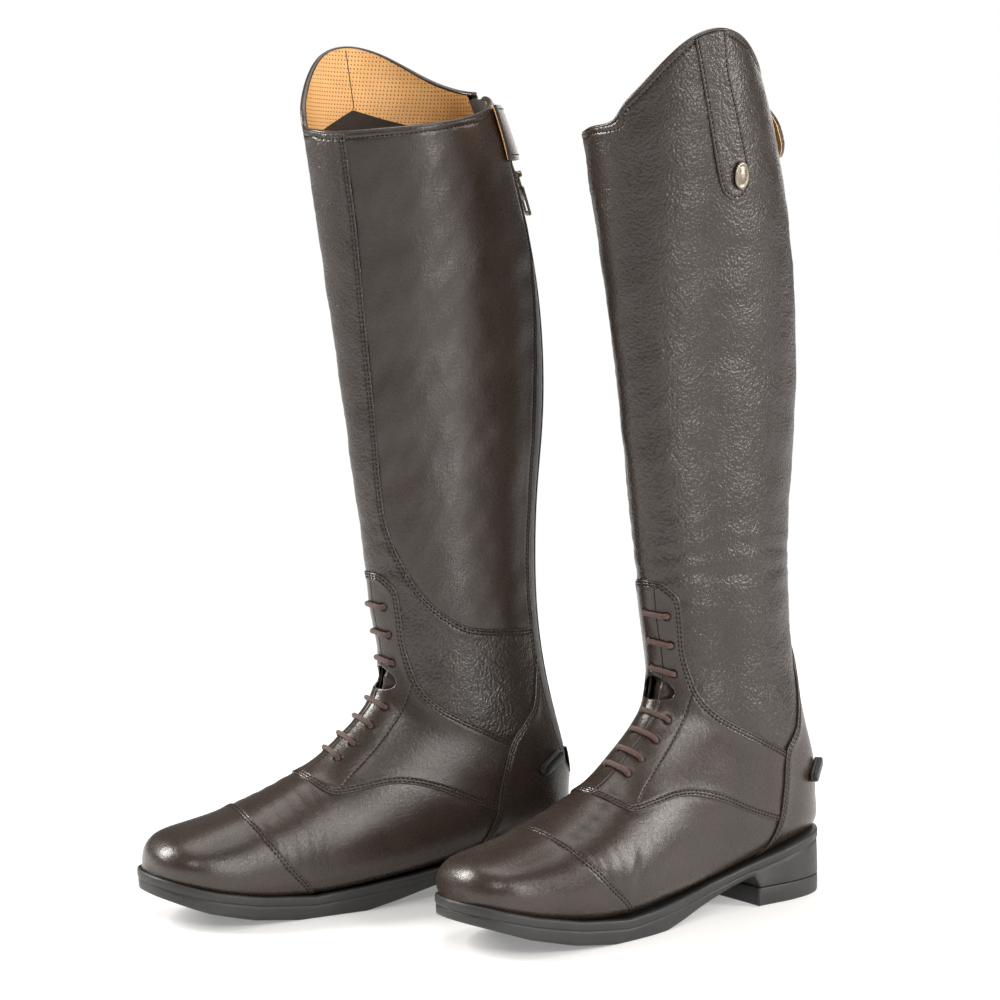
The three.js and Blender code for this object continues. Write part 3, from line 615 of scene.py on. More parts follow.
def warped(m, scale, amount):
    """The place, pushed about by noise, so that cells and grain don't line up."""
    noise = m.add("ShaderNodeTexNoise", Vector=m.place, Scale=scale, Detail=2.0)
    centred = m.add("ShaderNodeVectorMath", {"operation": "SUBTRACT"},
                    i0=noise.outputs["Color"], i1=(0.5, 0.5, 0.5))
    scaled = m.add("ShaderNodeVectorMath", {"operation": "SCALE"}, i0=centred.outputs[0], Scale=amount)
    return m.add("ShaderNodeVectorMath", {"operation": "ADD"}, i0=m.place, i1=scaled.outputs[0]).outputs[0]


def smooth_leather():
    m = Nodes("smooth_leather")
    tone = m.noise(34, 3)
    m.set(Base_Color=m.mix(m.ramp(tone, 0.3, 0.7), (0.0225, 0.0145, 0.0105), (0.0330, 0.0225, 0.0170)))
    m.set(Roughness=m.ramp(m.noise(900, 2), 0.3, 0.7, 0.24, 0.36), Specular_IOR_Level=0.55)
    first = m.bump(m.voronoi(1300), 0.20, 0.0002)
    m.set(Normal=m.bump(m.noise(420, 4, 0.65), 0.25, 0.0007, first))
    return m.material


def grained_leather():
    """Pebbled leather: small domed cells with soft creases between them, painted darker as shade, over a faint crumple.
    """
    m = Nodes("grained_leather")
    moved = warped(m, 170, 0.0022)
    domes = m.voronoi(640, moved, "SMOOTH_F1")
    tone = m.ramp(m.noise(26, 3), 0.3, 0.7)
    base = m.mix(tone, (0.0225, 0.0150, 0.0112), (0.0340, 0.0240, 0.0185))
    # Painted shade: the colour darkens from the domes' tops towards the creases between them.
    m.set(Base_Color=m.mix(m.ramp(domes, 0.35, 0.75), base, (0.015, 0.0095, 0.007)), Specular_IOR_Level=0.55)
    m.set(Roughness=m.ramp(domes, 0.2, 0.8, 0.27, 0.42))
    first = m.bump(m.math("SUBTRACT", 1.0, domes), 0.42, 0.0008)
    m.set(Normal=m.bump(m.noise(150, 4, 0.6), 0.16, 0.0022, first))
    return m.material


def plain(name, tones, dark, pale, relief, **constants):
    """Two tones mixed by noise under a fine bump.

    tones is the noise's scale and detail, and maybe the values between which the tones change;
    relief is the bump noise's scale and detail, and the bump's strength and distance."""
    m = Nodes(name)
    share = m.noise(*tones[:2])
    if tones[2:]:
        share = m.ramp(share, *tones[2:])
    m.set(Base_Color=m.mix(share, dark, pale), Normal=m.bump(m.noise(*relief[:2]), *relief[2:]), **constants)
    return m.material


def dark_lining():
    return plain("dark_lining", (200, 3), (0.020, 0.013, 0.010), (0.032, 0.022, 0.017), (1500, 3, 0.4, 0.0004),
                 Roughness=0.85)


def rubber(name, colour, roughness):
    m = Nodes(name)
    pale = tuple(c * 1.35 for c in colour)
    m.set(Base_Color=m.mix(m.ramp(m.noise(45, 4), 0.35, 0.7), colour, pale))
    m.set(Roughness=m.ramp(m.noise(300, 3), 0.3, 0.7, roughness - 0.05, roughness + 0.08))
    m.set(Normal=m.bump(m.noise(1400, 3), 0.16, 0.0003))
    return m.material


def woven(name, dark, pale, pitch, roughness=0.7):
    """Fine cloth: two crossed sets of threads in the object's own axes."""
    m = Nodes(name)
    waves = [m.add("ShaderNodeTexWave", {"bands_direction": axis}, Vector=m.place, Scale=1 / pitch / 2,
                   Distortion=0.6, Detail=1.0).outputs["Fac"] for axis in ("X", "Z")]
    weave = m.math("MULTIPLY", *waves)
    m.set(Base_Color=m.mix(weave, dark, pale), Roughness=roughness, Sheen_Weight=0.3)
    m.set(Normal=m.bump(weave, 0.6, 0.0003))
    return m.material


def metal(name, colour, roughness):
    m = Nodes(name)
    m.set(Base_Color=m.mix(m.ramp(m.noise(150, 4), 0.35, 0.7), colour, tuple(c * 0.55 for c in colour)))
    m.set(Metallic=1.0, Roughness=m.ramp(m.noise(400, 3), 0.3, 0.7, roughness, roughness + 0.15))
    return m.material


MATERIAL = {
    "smooth": smooth_leather(),
    "grained": grained_leather(),
    "tan": plain("tan_lining", (60, 4, 0.3, 0.7), (0.70, 0.37, 0.13), (0.80, 0.46, 0.18),
                 (900, 3, 0.25, 0.0003), Roughness=0.62),
    "lining": dark_lining(),
    "tongue": plain("tongue_leather", (120, 3), (0.020, 0.0135, 0.010), (0.032, 0.022, 0.0165),
                    (420, 4, 0.4, 0.0008), Roughness=0.34),
    "sole": rubber("sole_rubber", (0.019, 0.0185, 0.018), 0.48),
    "black": rubber("black_rubber", (0.010, 0.010, 0.010), 0.42),
    "elastic": woven("elastic_fabric", (0.008, 0.007, 0.006), (0.026, 0.022, 0.020), 0.0006),
    "tape": woven("zip_fabric", (0.008, 0.007, 0.006), (0.022, 0.019, 0.017), 0.0005),
    "cord": woven("cord_fabric", (0.055, 0.019, 0.011), (0.105, 0.042, 0.026), 0.0006, 0.6),
    "thread": plain("thread", (500, 2), (0.010, 0.0065, 0.005), (0.026, 0.017, 0.013),
                    (3000, 2, 0.4, 0.0002), Roughness=0.8, Specular_IOR_Level=0.2),
    "metal": metal("dark_metal", (0.30, 0.26, 0.21), 0.26),
    "steel": metal("spring_steel", (0.55, 0.56, 0.58), 0.3),
    "board": plain("board", (700, 4), (0.28, 0.20, 0.12), (0.42, 0.31, 0.19), (1200, 3, 0.3, 0.0003),
                   Roughness=0.85),
    "plastic": plain("moulded_plastic", (90, 3), (0.60, 0.57, 0.50), (0.72, 0.69, 0.62),
                     (1000, 2, 0.15, 0.0003), Roughness=0.5),
    "foam": dark_lining(),
}
NODE_LOOK = {"shank": "steel", "insole_board": "board", "toe_puff": "plastic", "heel_stiffener": "plastic"}


# ---- Building pieces -----------------------------------------------------------------------
class Boot:
    """One boot's place in the row frame, read from its zip's joint."""

    def __init__(self, name, outer, lacing):
        self.name, self.outer, self.lacing = name, outer, lacing
        joint = JOINTS[f"{name}_zip_travel"]
        ax, ay, _ = joint["axis"]
        self.forward = np.array([ay, -ax, 0.0])
        self.left = np.array([ax, ay, 0.0])
        self.origin = np.array(joint["pos_m"]) - self.forward * ARC_X * MM - np.array([0, 0, ARC_Z * MM])

    def world(self, p):
        p = np.asarray(p, float) * MM
        return self.origin + p[:, :1] * self.forward + p[:, 1:2] * self.outer * self.left + p[:, 2:] * UP

    def piece(self, name, points, faces, look, part="boot", replaces=(), sharp=None):
        """A mesh from points in the boot's own frame, riding on one of the boot's bodies."""
        full = f"{self.name}_{name}"
        faces = [np.asarray(f) for f in (faces if isinstance(faces, list) else [faces]) if len(f)]
        mesh = bpy.data.meshes.new(full)
        mesh.vertices.add(len(points))
        mesh.vertices.foreach_set("co", self.world(points).ravel())
        loops, starts, at = [], [], 0
        for block in faces:
            block = block[:, ::-1] if self.outer < 0 else block
            loops.append(block.ravel())
            starts.append(at + np.arange(len(block)) * block.shape[1])
            at += block.size
        loops, starts = np.concatenate(loops), np.concatenate(starts)
        mesh.loops.add(len(loops))
        mesh.loops.foreach_set("vertex_index", loops.astype(np.int32))
        mesh.polygons.add(len(starts))
        mesh.polygons.foreach_set("loop_start", starts.astype(np.int32))
        mesh.polygons.foreach_set("use_smooth", np.ones(len(starts), bool))
        mesh.update(calc_edges=True)
        mesh.validate()
        if sharp is not None and len(sharp):
            e = np.zeros(len(mesh.edges) * 2, np.int64)
            mesh.edges.foreach_get("vertices", e)
            keys = [edge_key(*np.reshape(k, (-1, 2)).T, len(points)) for k in (e, sharp)]
            attribute = mesh.attributes.new("sharp_edge", "BOOLEAN", "EDGE")
            attribute.data.foreach_set("value", np.isin(*keys))
        obj = bpy.data.objects.new(full, mesh)
        bpy.context.scene.collection.objects.link(obj)
        mesh.materials.append(MATERIAL[look])
        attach(obj, f"{self.name}_{part}")
        if replaces:
            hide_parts(*(f"{self.name}_{r}" for r in replaces))
        return obj


def closed_sheet(patch, top, thickness):
    """Points and faces of a patch with a height above the skin and a thickness, and its sharp edges."""
    n = len(patch.tv)
    outer = patch.P + patch.N * np.reshape(top, (-1, 1))
    inner = patch.P + patch.N * np.reshape(top - thickness, (-1, 1))
    e = patch.rim_edges()
    a, b = e.T
    wall = [np.stack([b, a, a + n], 1), np.stack([b, a + n, b + n], 1)]
    faces = np.concatenate([patch.tris, patch.tris[:, ::-1] + n, *wall])
    return np.vstack([outer, inner]), faces, np.concatenate([e, e + n])


# Distances inside a panel's edge: its rows of stitches, and the cuts that give its mesh the detail.
ROWS = (1.5, 3.4)
EDGE_LEVELS = (0.3, 0.7, 1.1, 1.5, 1.9, 2.45, 3.0, 3.4, 3.8, 4.6, 6.5, 9.5)
UNDER_LEVELS = (0.6, 1.6, 3.2)


class Edge:
    """One edge of a panel. field is the distance inside it; over tells whether the panel laps over."""

    GROOVE, GROOVE_WIDTH = 0.50, 0.46
    ROUNDING = 0.5
    SINK = 0.3

    def __init__(self, field, over=True, rows=ROWS, lift=0.85, levels=None):
        self.field, self.over, self.rows, self.lift = field, over, rows, lift
        self.levels = levels or (EDGE_LEVELS if over else UNDER_LEVELS)

    def grooves(self, d):
        return sum((-self.GROOVE * near(d, r, self.GROOVE_WIDTH) for r in self.rows), 0 * d)

    def raise_(self, d):
        return self.lift * np.exp(-(np.maximum(d, 0) / 6) ** 2)

    def soften(self, d):
        return -self.ROUNDING * np.clip(1 - d / 0.8, 0, 1) ** 2

    def sink(self, d):
        return -self.SINK * np.exp(-(np.maximum(d, 0) / 3) ** 2)


class Panel:
    """A leather panel: its region of the skin, its edges and its height above the skin."""

    LAP = 4.0

    def __init__(self, edges, limits=(), base=0.12, thickness=0.9, waves=None, holes=(), row=None):
        self.edges, self.base, self.thickness = edges, base, thickness
        self.waves, self.holes, self.row = waves, holes, row
        patch = BASE.copy()
        for field in limits:
            patch.cut(field, 0, 1)
        for edge in edges:
            patch.cut(edge.field, 0 if edge.over else -self.LAP, 1)
        for hole in holes:
            hole.drill(patch)
        for edge in edges:
            for level in edge.levels:
                patch.cut(edge.field, level)
        if row:
            for level in (-0.9, -0.4, 0, 0.4, 0.9):
                patch.cut(row, level)
        self.patch = patch.compact()

    def height(self, P, N):
        h = np.full(len(P), self.base)
        lifts = [e.raise_(e.field(P, N)) for e in self.edges if e.over]
        if lifts:
            h += np.max(lifts, axis=0)
        for e in self.edges:
            d = e.field(P, N)
            h += (e.soften(d) + e.grooves(d)) if e.over else e.sink(d)
        for hole in self.holes:
            h += hole.dimple(P)
        if self.row:
            h += -0.38 * np.exp(-(self.row(P, N) / 0.42) ** 2)
        if self.waves is not None:
            h += self.waves(P, N)
        return h

    def sheet(self):
        return closed_sheet(self.patch, self.height(self.patch.P, self.patch.N), self.thickness)


class Hole:
    """A punched hole for the lacing, at a place on the skin."""

    RADIUS = 1.5

    def __init__(self, centre, along, across):
        self.centre, self.axes = np.array(centre), (np.array(along), np.array(across))

    def away(self, P, N=None):
        return np.linalg.norm(P - self.centre, axis=1) - self.RADIUS

    def drill(self, patch):
        close = lambda P: np.linalg.norm(P - self.centre, axis=1) < 5
        if not close(patch.P).any():
            return
        for axis in self.axes:
            for level in np.arange(-2.4, 2.5, 0.8):
                patch.cut(lambda P, N: (P - self.centre) @ axis, level, where=close)
        for level in (2.2, 1.2, 0.5):
            patch.cut(self.away, level, where=close)
        patch.cut(self.away, 0, 1)

    def dimple(self, P):
        d = np.maximum(self.away(P), 0)
        return -0.55 * np.exp(-(d / 0.9) ** 2) + 0.12 * np.exp(-((d - 2.0) / 0.8) ** 2)


def stitches(runs, surface, pitch=2.9, length=2.05):
    """Points and faces of a row of stitches along each run of t and v on a panel's surface."""
    width, height = 0.78 / 2 * 1.3, 0.78 / 2
    rings = ((-0.5, 0.0), (-0.30, 0.85), (0.0, 1.0), (0.30, 0.85), (0.5, 0.0))
    template = []
    for x, r in rings:
        for k in range(1 if r == 0 else 4):
            a = math.pi / 4 + k * math.pi / 2
            template.append((x * length, r * width * math.cos(a), r * height * math.sin(a)))
    template = np.array(template)
    faces = [(0, 1 + (k + 1) % 4, 1 + k) for k in range(4)]
    for ring in (1, 5):
        for k in range(4):
            a, b = ring + k, ring + (k + 1) % 4
            faces += [(a, b, b + 4), (a, b + 4, a + 4)]
    faces = np.array(faces + [(13, 9 + k, 9 + (k + 1) % 4) for k in range(4)])
    lots = []
    for tv in runs:
        run = run_length(SKIN(tv)[0])
        count = int(run[-1] / pitch)
        if count < 1:
            continue
        at = (np.arange(count) + 0.5) * run[-1] / count

        def above(shift, lift=0.0):
            P, N = SKIN(read_along(at + shift, run, tv))
            return P + N * (surface(P, N) + lift)[:, None], N

        C, M = above(0, 0.16)
        T = normalized(above(0.6)[0] - above(-0.6)[0])
        S = normalized(np.cross(M, T))
        axes = np.stack([T, S, np.cross(T, S)], 1)
        starts = (np.arange(count) * len(template))[:, None, None]
        lots.append(((C[:, None] + template @ axes).reshape(-1, 3), (faces[None] + starts).reshape(-1, 3)))
    if not lots:
        return np.zeros((0, 3)), faces[:0]
    points, blocks = merged(lots)
    return points, np.vstack(blocks)


def masked(runs, fields, least):
    """The parts of each run where every field is at least the given distance."""
    out = []
    for tv in runs:
        P, N = SKIN(tv)
        ok = np.ones(len(tv), bool)
        for field in fields:
            ok &= field(P, N) > least
        edges = np.flatnonzero(np.diff(np.concatenate([[0], ok.astype(int), [0]])))
        for a, b in zip(edges[::2], edges[1::2]):
            if b - a > 2:
                out.append(tv[a:b])
    return out


def seam_rows(panel, edge):
    """The stitches of every row along one of a panel's edges."""
    others = [e.field for e in panel.edges if e is not edge]
    runs = [run for r in edge.rows for run in masked(panel.patch.lines(edge.field, r), others, 1.0)]
    return stitches(runs, panel.height)


def loft(rings, closed=False):
    """Quads from each ring of points to the next, with two caps or closed from the last to the first."""
    n, k = len(rings), len(rings[0])
    i, j = (x.ravel() for x in np.meshgrid(np.arange(n if closed else n - 1), np.arange(k), indexing="ij"))
    here, below, after = i * k, (i + 1) % n * k, (j + 1) % k
    quads = np.stack([here + j, here + after, below + after, below + j], 1)
    caps = [] if closed else [np.arange(k)[None, ::-1], (np.arange(k) + (n - 1) * k)[None]]
    return np.vstack(rings), [quads, *caps]


def turned_over(faces):
    return [block[:, ::-1] for block in faces]


def swept(path, normals, outline):
    """An outline of (outwards, sideways) points swept along a path and closed at its ends."""
    path, outline = np.asarray(path, float), np.asarray(outline, float)
    tangent = normalized(np.gradient(path, axis=0))
    side = normalized(np.cross(normalized(np.asarray(normals, float)), tangent))
    up = np.cross(tangent, side)
    if outline.ndim == 2:
        outline = np.repeat(outline[None], len(path), 0)
    return loft(path[:, None] + outline[..., :1] * up[:, None] + outline[..., 1:] * side[:, None])


def ellipse(a, b, count=10):
    w = angles(count)
    return np.stack([a * np.cos(w), -b * np.sin(w)], 1)


def merged(parts):
    """Several lots of points and faces as one."""
    points, faces, start = [], [], 0
    for p, f in parts:
        if not len(p):
            continue
        points.append(p)
        for block in (f if isinstance(f, list) else [f]):
            faces.append(np.asarray(block) + start)
        start += len(p)
    return np.vstack(points), faces


def grid_quads(rows, columns):
    i, j = np.meshgrid(np.arange(rows - 1), np.arange(columns - 1), indexing="ij")
    a = (i * columns + j).ravel()
    return np.stack([a, a + 1, a + columns + 1, a + columns], 1)


def grid_rim(rows, columns):
    """The corners round a grid's four edges, and the corner after each."""
    index = np.arange(rows * columns).reshape(rows, columns)
    loop = np.concatenate([index[0, :-1], index[:-1, -1], index[-1, :0:-1], index[:0:-1, 0]])
    return loop, np.roll(loop, -1)


def lattice(tv):
    """A grid of t and v as points, normals and the grid's shape."""
    return *SKIN(tv.reshape(-1, 2)), tv.shape[:2]


def slab(P, N, shape, top, thickness):
    """A grid of quads with a thickness, closed round its four edges, and its sharp edges."""
    n = len(P)
    outer = P + N * np.reshape(top, (-1, 1))
    inner = P + N * np.reshape(top - thickness, (-1, 1))
    quads, (loop, after) = grid_quads(*shape), grid_rim(*shape)
    wall = np.stack([after, loop, loop + n, after + n], 1)
    rim = np.stack([loop, after], 1)
    return np.vstack([outer, inner]), [quads, quads[:, ::-1] + n, wall], np.concatenate([rim, rim + n])


def places_at(heights, ys, edge, v, given):
    """A grid of t and v at heights up an edge; given is what v is called where y rises along it."""
    out = np.zeros((len(heights), len(ys), 2))
    for i, z in enumerate(heights):
        t = fan_at(z, edge)
        y = SKIN(np.stack([np.full(len(v), t), v], 1))[0][:, 1]
        out[i, :, 0] = t
        out[i, :, 1] = np.interp(ys, y, given)
    return out


def behind_at(heights, ys):
    """A grid of t and v at heights up the back and distances from the middle."""
    v = np.concatenate([np.linspace(0.55, 1, 60), np.linspace(-1, -0.55, 60)])[::-1]
    return places_at(heights, ys, BACK, v, np.unwrap(v * np.pi) / np.pi)


def before_at(heights, ys):
    """A grid of t and v at heights up the front and distances from the middle."""
    v = np.linspace(-0.45, 0.45, 120)
    return places_at(heights, ys, FRONT, v, v)


def ripple(P, seed, scale):
    """Smooth, random-looking waves with a height of about one."""
    rng = np.random.default_rng(seed)
    total = np.zeros(len(P))
    for _ in range(6):
        way = normalized(rng.normal(size=3)) * rng.uniform(0.6, 1.6) / scale
        total += np.sin(P @ way * 2 * np.pi + rng.uniform(0, 6.3))
    return total / 3


def near(value, centre, width):
    return np.exp(-((value - centre) / width) ** 2)


def vamp_waves(P, N):
    """Faint walking creases across the vamp, one short fold low on its outer side, and soft waves."""
    x = P[:, 0] + 0.35 * np.abs(P[:, 1]) + 2.2 * ripple(P, 3, 50)
    band = near(P[:, 0], 192, 20) * np.clip((P[:, 2] - 22) / 30, 0, 1)
    low = near(P[:, 2], 38, 13) * np.clip(P[:, 1] / 20, 0, 1)
    across = P[:, 0] + 0.3 * (P[:, 2] - 38)
    fold = low * (0.75 * near(across, 180, 5) - 0.9 * near(across, 172.5, 3.2))
    return 0.22 * band * np.sin(x * 2 * np.pi / 8.5) + 0.16 * ripple(P, 4, 30) + fold


def soft_waves(P, N):
    return 0.16 * ripple(P, 5, 38)


def shaft_waves(P, N):
    """Soft folds at the ankle, and a grain of broad, shallow waves above it."""
    fold = np.sin((P[:, 2] + 4 * ripple(P, 7, 60)) * 2 * np.pi / 15)
    ankle = near(P[:, 2], 214, 24) * np.clip(np.abs(P[:, 1]) / 20, 0.35, 1)
    return 0.42 * ankle * fold + 0.30 * ripple(P, 6, 34) + 0.10 * ripple(P, 8, 7)


def guard_waves(P, N):
    return 0.45 * ripple(P * np.array([1, 1, 0.45]), 9, 46) + 0.15 * ripple(P, 10, 16)


LINER_DEPTH, LINER = 2.2, 0.8
SLIT = 0.15


# ---- Upper ---------------------------------------------------------------------------------
def lace_span(bars):
    return 6.5 if bars is UPPER_BARS else 7.8


def standing(tv, height, lean=0.0):
    """A frame on the skin: where it stands, across, up and out."""
    P, N = SKIN(np.array([tv]))
    n = N[0]
    up = normalized(UP - n * n[2])
    across = np.cross(up, n)
    c, s = math.cos(lean), math.sin(lean)
    across, up = across * c + up * s, up * c - across * s
    return P[0] + n * height, across, up, n


def lace_holes(boot, bars):
    reach = lace_span(bars) * 1.05
    spots = [before_at([z], [boot.lacing + s * reach])[0, 0] for z in bars for s in (-1, 1)]
    found = []
    for at, across, up, _ in (standing(tv, 0) for tv in spots):
        found.append(Hole(at, up, -across))
    return found


def leather_panels(boot):
    outer, inner = beyond(0, 1), beyond(0, -1)
    front = boot.lacing + 1
    above_sole = lambda P, N: SOLE_EDGE(P, N) + 1.5
    counter_seam = Edge(minus(COUNTER), over=False)
    zip_edge = Edge(zip_gap, rows=(2.0,), lift=0.25)
    rim = Edge(RIM, rows=(3.4,), lift=0.2, levels=(0.8, 2.0, 3.0, 3.4, 3.8, 5.5))
    holes = lace_holes(boot, UPPER_BARS) + lace_holes(boot, LOWER_BARS)
    panels = {
        "toe_cap": ("smooth", Panel([Edge(CAP)], [above_sole], waves=soft_waves)),
        "vamp": ("smooth", Panel([Edge(minus(CAP), False), Edge(minus(VAMP), False), counter_seam],
                                 [above_sole], waves=vamp_waves)),
        "shaft_panel": ("grained", Panel(
            [Edge(SHAFT, False), Edge(outside_inner(GUARD)), counter_seam, Edge(outside_inner(GUSSET)), rim, zip_edge],
            waves=shaft_waves)),
        "calf_guard": ("smooth", Panel([Edge(GUARD, False), Edge(minus(GUSSET)), rim], [inner],
                                       waves=guard_waves)),
        "elastic_gusset": ("elastic", Panel(
            [Edge(GUSSET, False), Edge(RIM, rows=(), lift=0)],
            [beyond(-ZIP_HALF, -1), lambda P, N: P[:, 2] - ZIP_BOTTOM + 6], base=-0.5,
            waves=lambda P, N: 0.22 * np.sin(P[:, 2] * 2 * np.pi / 2.2) ** 2)),
    }
    for side, half, sign in (("outer", outer, 1), ("inner", inner, -1)):
        slit = Edge(beyond(front + sign * SLIT, sign), rows=(), lift=0.25)
        panels[f"quarter_{side}"] = ("smooth", Panel(
            [Edge(VAMP), Edge(minus(SHAFT)), counter_seam, slit, Edge(minus(NOTCH_EDGE), rows=(), lift=0.55)],
            [lambda P, N: P[:, 0] - 20], waves=soft_waves, row=FACING,
            holes=[h for h in holes if sign * (h.centre[1] - front) > 0]))
        edges = [Edge(COUNTER, lift=1.15), zip_edge] + [Edge(minus(GUSSET), rows=(1.3,))] * (sign < 0)
        panels[f"counter_{side}"] = ("smooth", Panel(edges, [half, above_sole], base=0.35, waves=soft_waves))
    return panels


def leather(boot):
    rows = []
    for name, (look, panel) in leather_panels(boot).items():
        points, faces, sharp = panel.sheet()
        boot.piece(name, points, faces, look, replaces=(name,), sharp=sharp)
        for edge in panel.edges:
            if edge.over and edge.rows:
                rows.append(seam_rows(panel, edge))
        if panel.row:
            runs = masked(panel.patch.lines(panel.row, 0), [e.field for e in panel.edges if e.over], 3.9)
            rows.append(stitches(runs, panel.height, length=1.7))
    points, faces = merged(rows)
    boot.piece("stitching", points, faces, "thread")


def pull_strip(boot):
    panel = Panel([Edge(PULL_EDGE, rows=(1.7,), lift=0.35), Edge(lambda P, N: RIM(P, N) - 1.0, rows=(), lift=0)],
                  [beyond(0, 1)], base=1.15, thickness=1.0, waves=lambda P, N: 0.08 * ripple(P, 8, 7))
    points, faces, sharp = panel.sheet()
    boot.piece("pull_strip", points, faces, "grained", replaces=("pull_strip",), sharp=sharp)
    points, faces = seam_rows(panel, panel.edges[0])
    boot.piece("pull_stitching", points, faces, "thread")


# ---- Inside --------------------------------------------------------------------------------
def rim_path(step=2.0):
    """The rim from one side of the zip round the front to the other, as t and v."""
    patch = BASE.copy()
    patch.cut(lambda P, N: zip_gap(P, N) - 0.5, 0, 1)
    edge = max(patch.compact().lines(RIM, 0), key=len)
    run = run_length(SKIN(edge)[0])
    out = read_along(np.linspace(0, run[-1], int(run[-1] / step)), run, edge)
    padded = np.vstack([2 * out[:1] - out[6:0:-1], out, 2 * out[-1:] - out[-2:-8:-1]])
    return np.stack([np.convolve(column, bell(6, 2.5), "valid") for column in padded.T], 1)


def rim_bead(boot):
    """The leather rolled over the rim and down on both sides."""
    P, N = SKIN(rim_path())
    boot.piece("rim_bead", *swept(P, N, ellipse(1.85, 1.15, 16) - np.array([1.25, 0])), "smooth")


def punched_patch(rows, across):
    """A patch over the collar with a hexagonal dimple in every second cell. Gives its cone corners too."""
    t = np.linspace(fan_at(436, FRONT), LAST, rows)
    v = np.linspace(-1, 1, across + 1)
    corners = np.stack(np.meshgrid(t, v, indexing="ij"), -1).reshape(-1, 2)
    i, j = (x.ravel() for x in np.meshgrid(np.arange(rows - 1), np.arange(across), indexing="ij"))
    a = i * (across + 1) + j
    b, c, d = a + 1, a + across + 2, a + across + 1
    plain = (i + j) % 2 == 1
    tris = [np.stack([a, b, c], 1)[plain], np.stack([a, c, d], 1)[plain]]
    i, j, a, b, c, d = (x[~plain] for x in (i, j, a, b, c, d))
    dt, dv = t[1] - t[0], v[1] - v[0]
    middle = np.stack([t[i] + dt / 2, v[j] + dv / 2], 1)
    w = angles(6)
    ring = np.stack([np.sin(w) * 0.21 * dt, np.cos(w) * 0.33 * dv], 1)
    holes = (middle[:, None] + ring[None]).reshape(-1, 2)
    n, m = len(corners), len(middle)
    h = n + np.arange(m)[:, None] * 6 + np.arange(6)[None]
    bottom = n + 6 * m + np.arange(m)
    tris += [np.stack([h[:, k], h[:, (k + 1) % 6], bottom], 1) for k in range(6)]
    h0, h1, h2, h3, h4, h5 = h.T
    round_hole = [(b, h0, h5), (b, c, h0), (c, h1, h0), (c, d, h1), (d, h2, h1), (d, h3, h2), (d, a, h3),
                  (a, h4, h3), (a, b, h4), (b, h5, h4)]
    tris += [np.stack(f, 1) for f in round_hole]
    return Patch(np.vstack([corners, holes, middle]), np.concatenate(tris), True), n + 6 * m


def collar_lining(boot):
    """Tan leather, punched all over, with a seam at the outer side."""
    patch, first_bottom = punched_patch(42, 280)
    last_bottom = len(patch.tv)
    for field in (COLLAR, lambda P, N: RIM(P, N) - 0.6, beside_tape):
        patch.cut(field, 0, 1)
    used = np.unique(patch.tris)
    is_bottom = (used >= first_bottom) & (used < last_bottom)
    patch.compact()
    n = len(patch.tv)
    points, faces, sharp = closed_sheet(patch, np.full(n, -LINER_DEPTH), LINER - 0.55 * is_bottom)
    boot.piece("collar_lining", points, faces, "tan", replaces=("collar_lining",), sharp=sharp)
    cones = patch.tris[is_bottom[patch.tris].any(1)]
    here = np.unique(cones)
    index = np.full(n, -1)
    index[here] = np.arange(len(here))
    boot.piece("perforations", (points[n:] - patch.N * 0.03)[here], index[cones][:, ::-1], "lining")
    seam = Line([(126, 545), (124, 529), (119, 480)], (200, 500), smooth=False)
    lots = []
    for tv in masked(BASE.lines(seam, 0), [beyond(5, 1), COLLAR, lambda P, N: RIM(P, N) - 1], 0):
        P, N = SKIN(tv)
        lots.append(swept(P - N * (LINER_DEPTH + LINER + 0.02), N, ellipse(0.22, 0.30, 6)))
    boot.piece("collar_seam", *merged(lots), "thread")


def beside_tape(P, N):
    return np.abs(P[:, 1]) * np.where(P[:, 0] > 90, 99, 1) - 12


def shaft_lining(boot):
    patch = BASE.copy()
    above_footbed = lambda P, N: P[:, 2] - 60 + 0.25 * P[:, 0]
    beside_tongue = lambda P, N: np.maximum(np.abs(P[:, 1] - boot.lacing) - 14, np.maximum(99 - P[:, 0], P[:, 2] - 210))
    for field in (minus(COLLAR), above_footbed, beside_tape, beside_tongue):
        patch.cut(field, 0, 1)
    patch.compact()
    points, faces, sharp = closed_sheet(patch, np.full(len(patch.tv), -LINER_DEPTH), LINER)
    boot.piece("shaft_lining", points, faces, "lining", replaces=("shaft_lining",), sharp=sharp)


def tongue(boot):
    """A strip of soft leather behind the lacing, creased where the ankle bends."""
    P, N, shape = lattice(before_at(np.linspace(86, 214, 60), boot.lacing + np.linspace(-19, 19, 25)))
    side = P[:, 1] - boot.lacing
    crease = 0.30 * np.sin((P[:, 2] + 3 * ripple(P, 21, 30)) * 2 * np.pi / 9) + 0.3 * ripple(P, 22, 12)
    ridge = 0.9 * np.exp(-(side / 6) ** 2)
    swell = 2.3 * np.exp(-(side / 5) ** 2 - ((P[:, 2] - 137) / 9) ** 2)
    points, faces, sharp = slab(P, N, shape, -5.6 + crease + ridge + swell, 1.5)
    boot.piece("tongue", points, faces, "tongue", replaces=("tongue",), sharp=sharp)


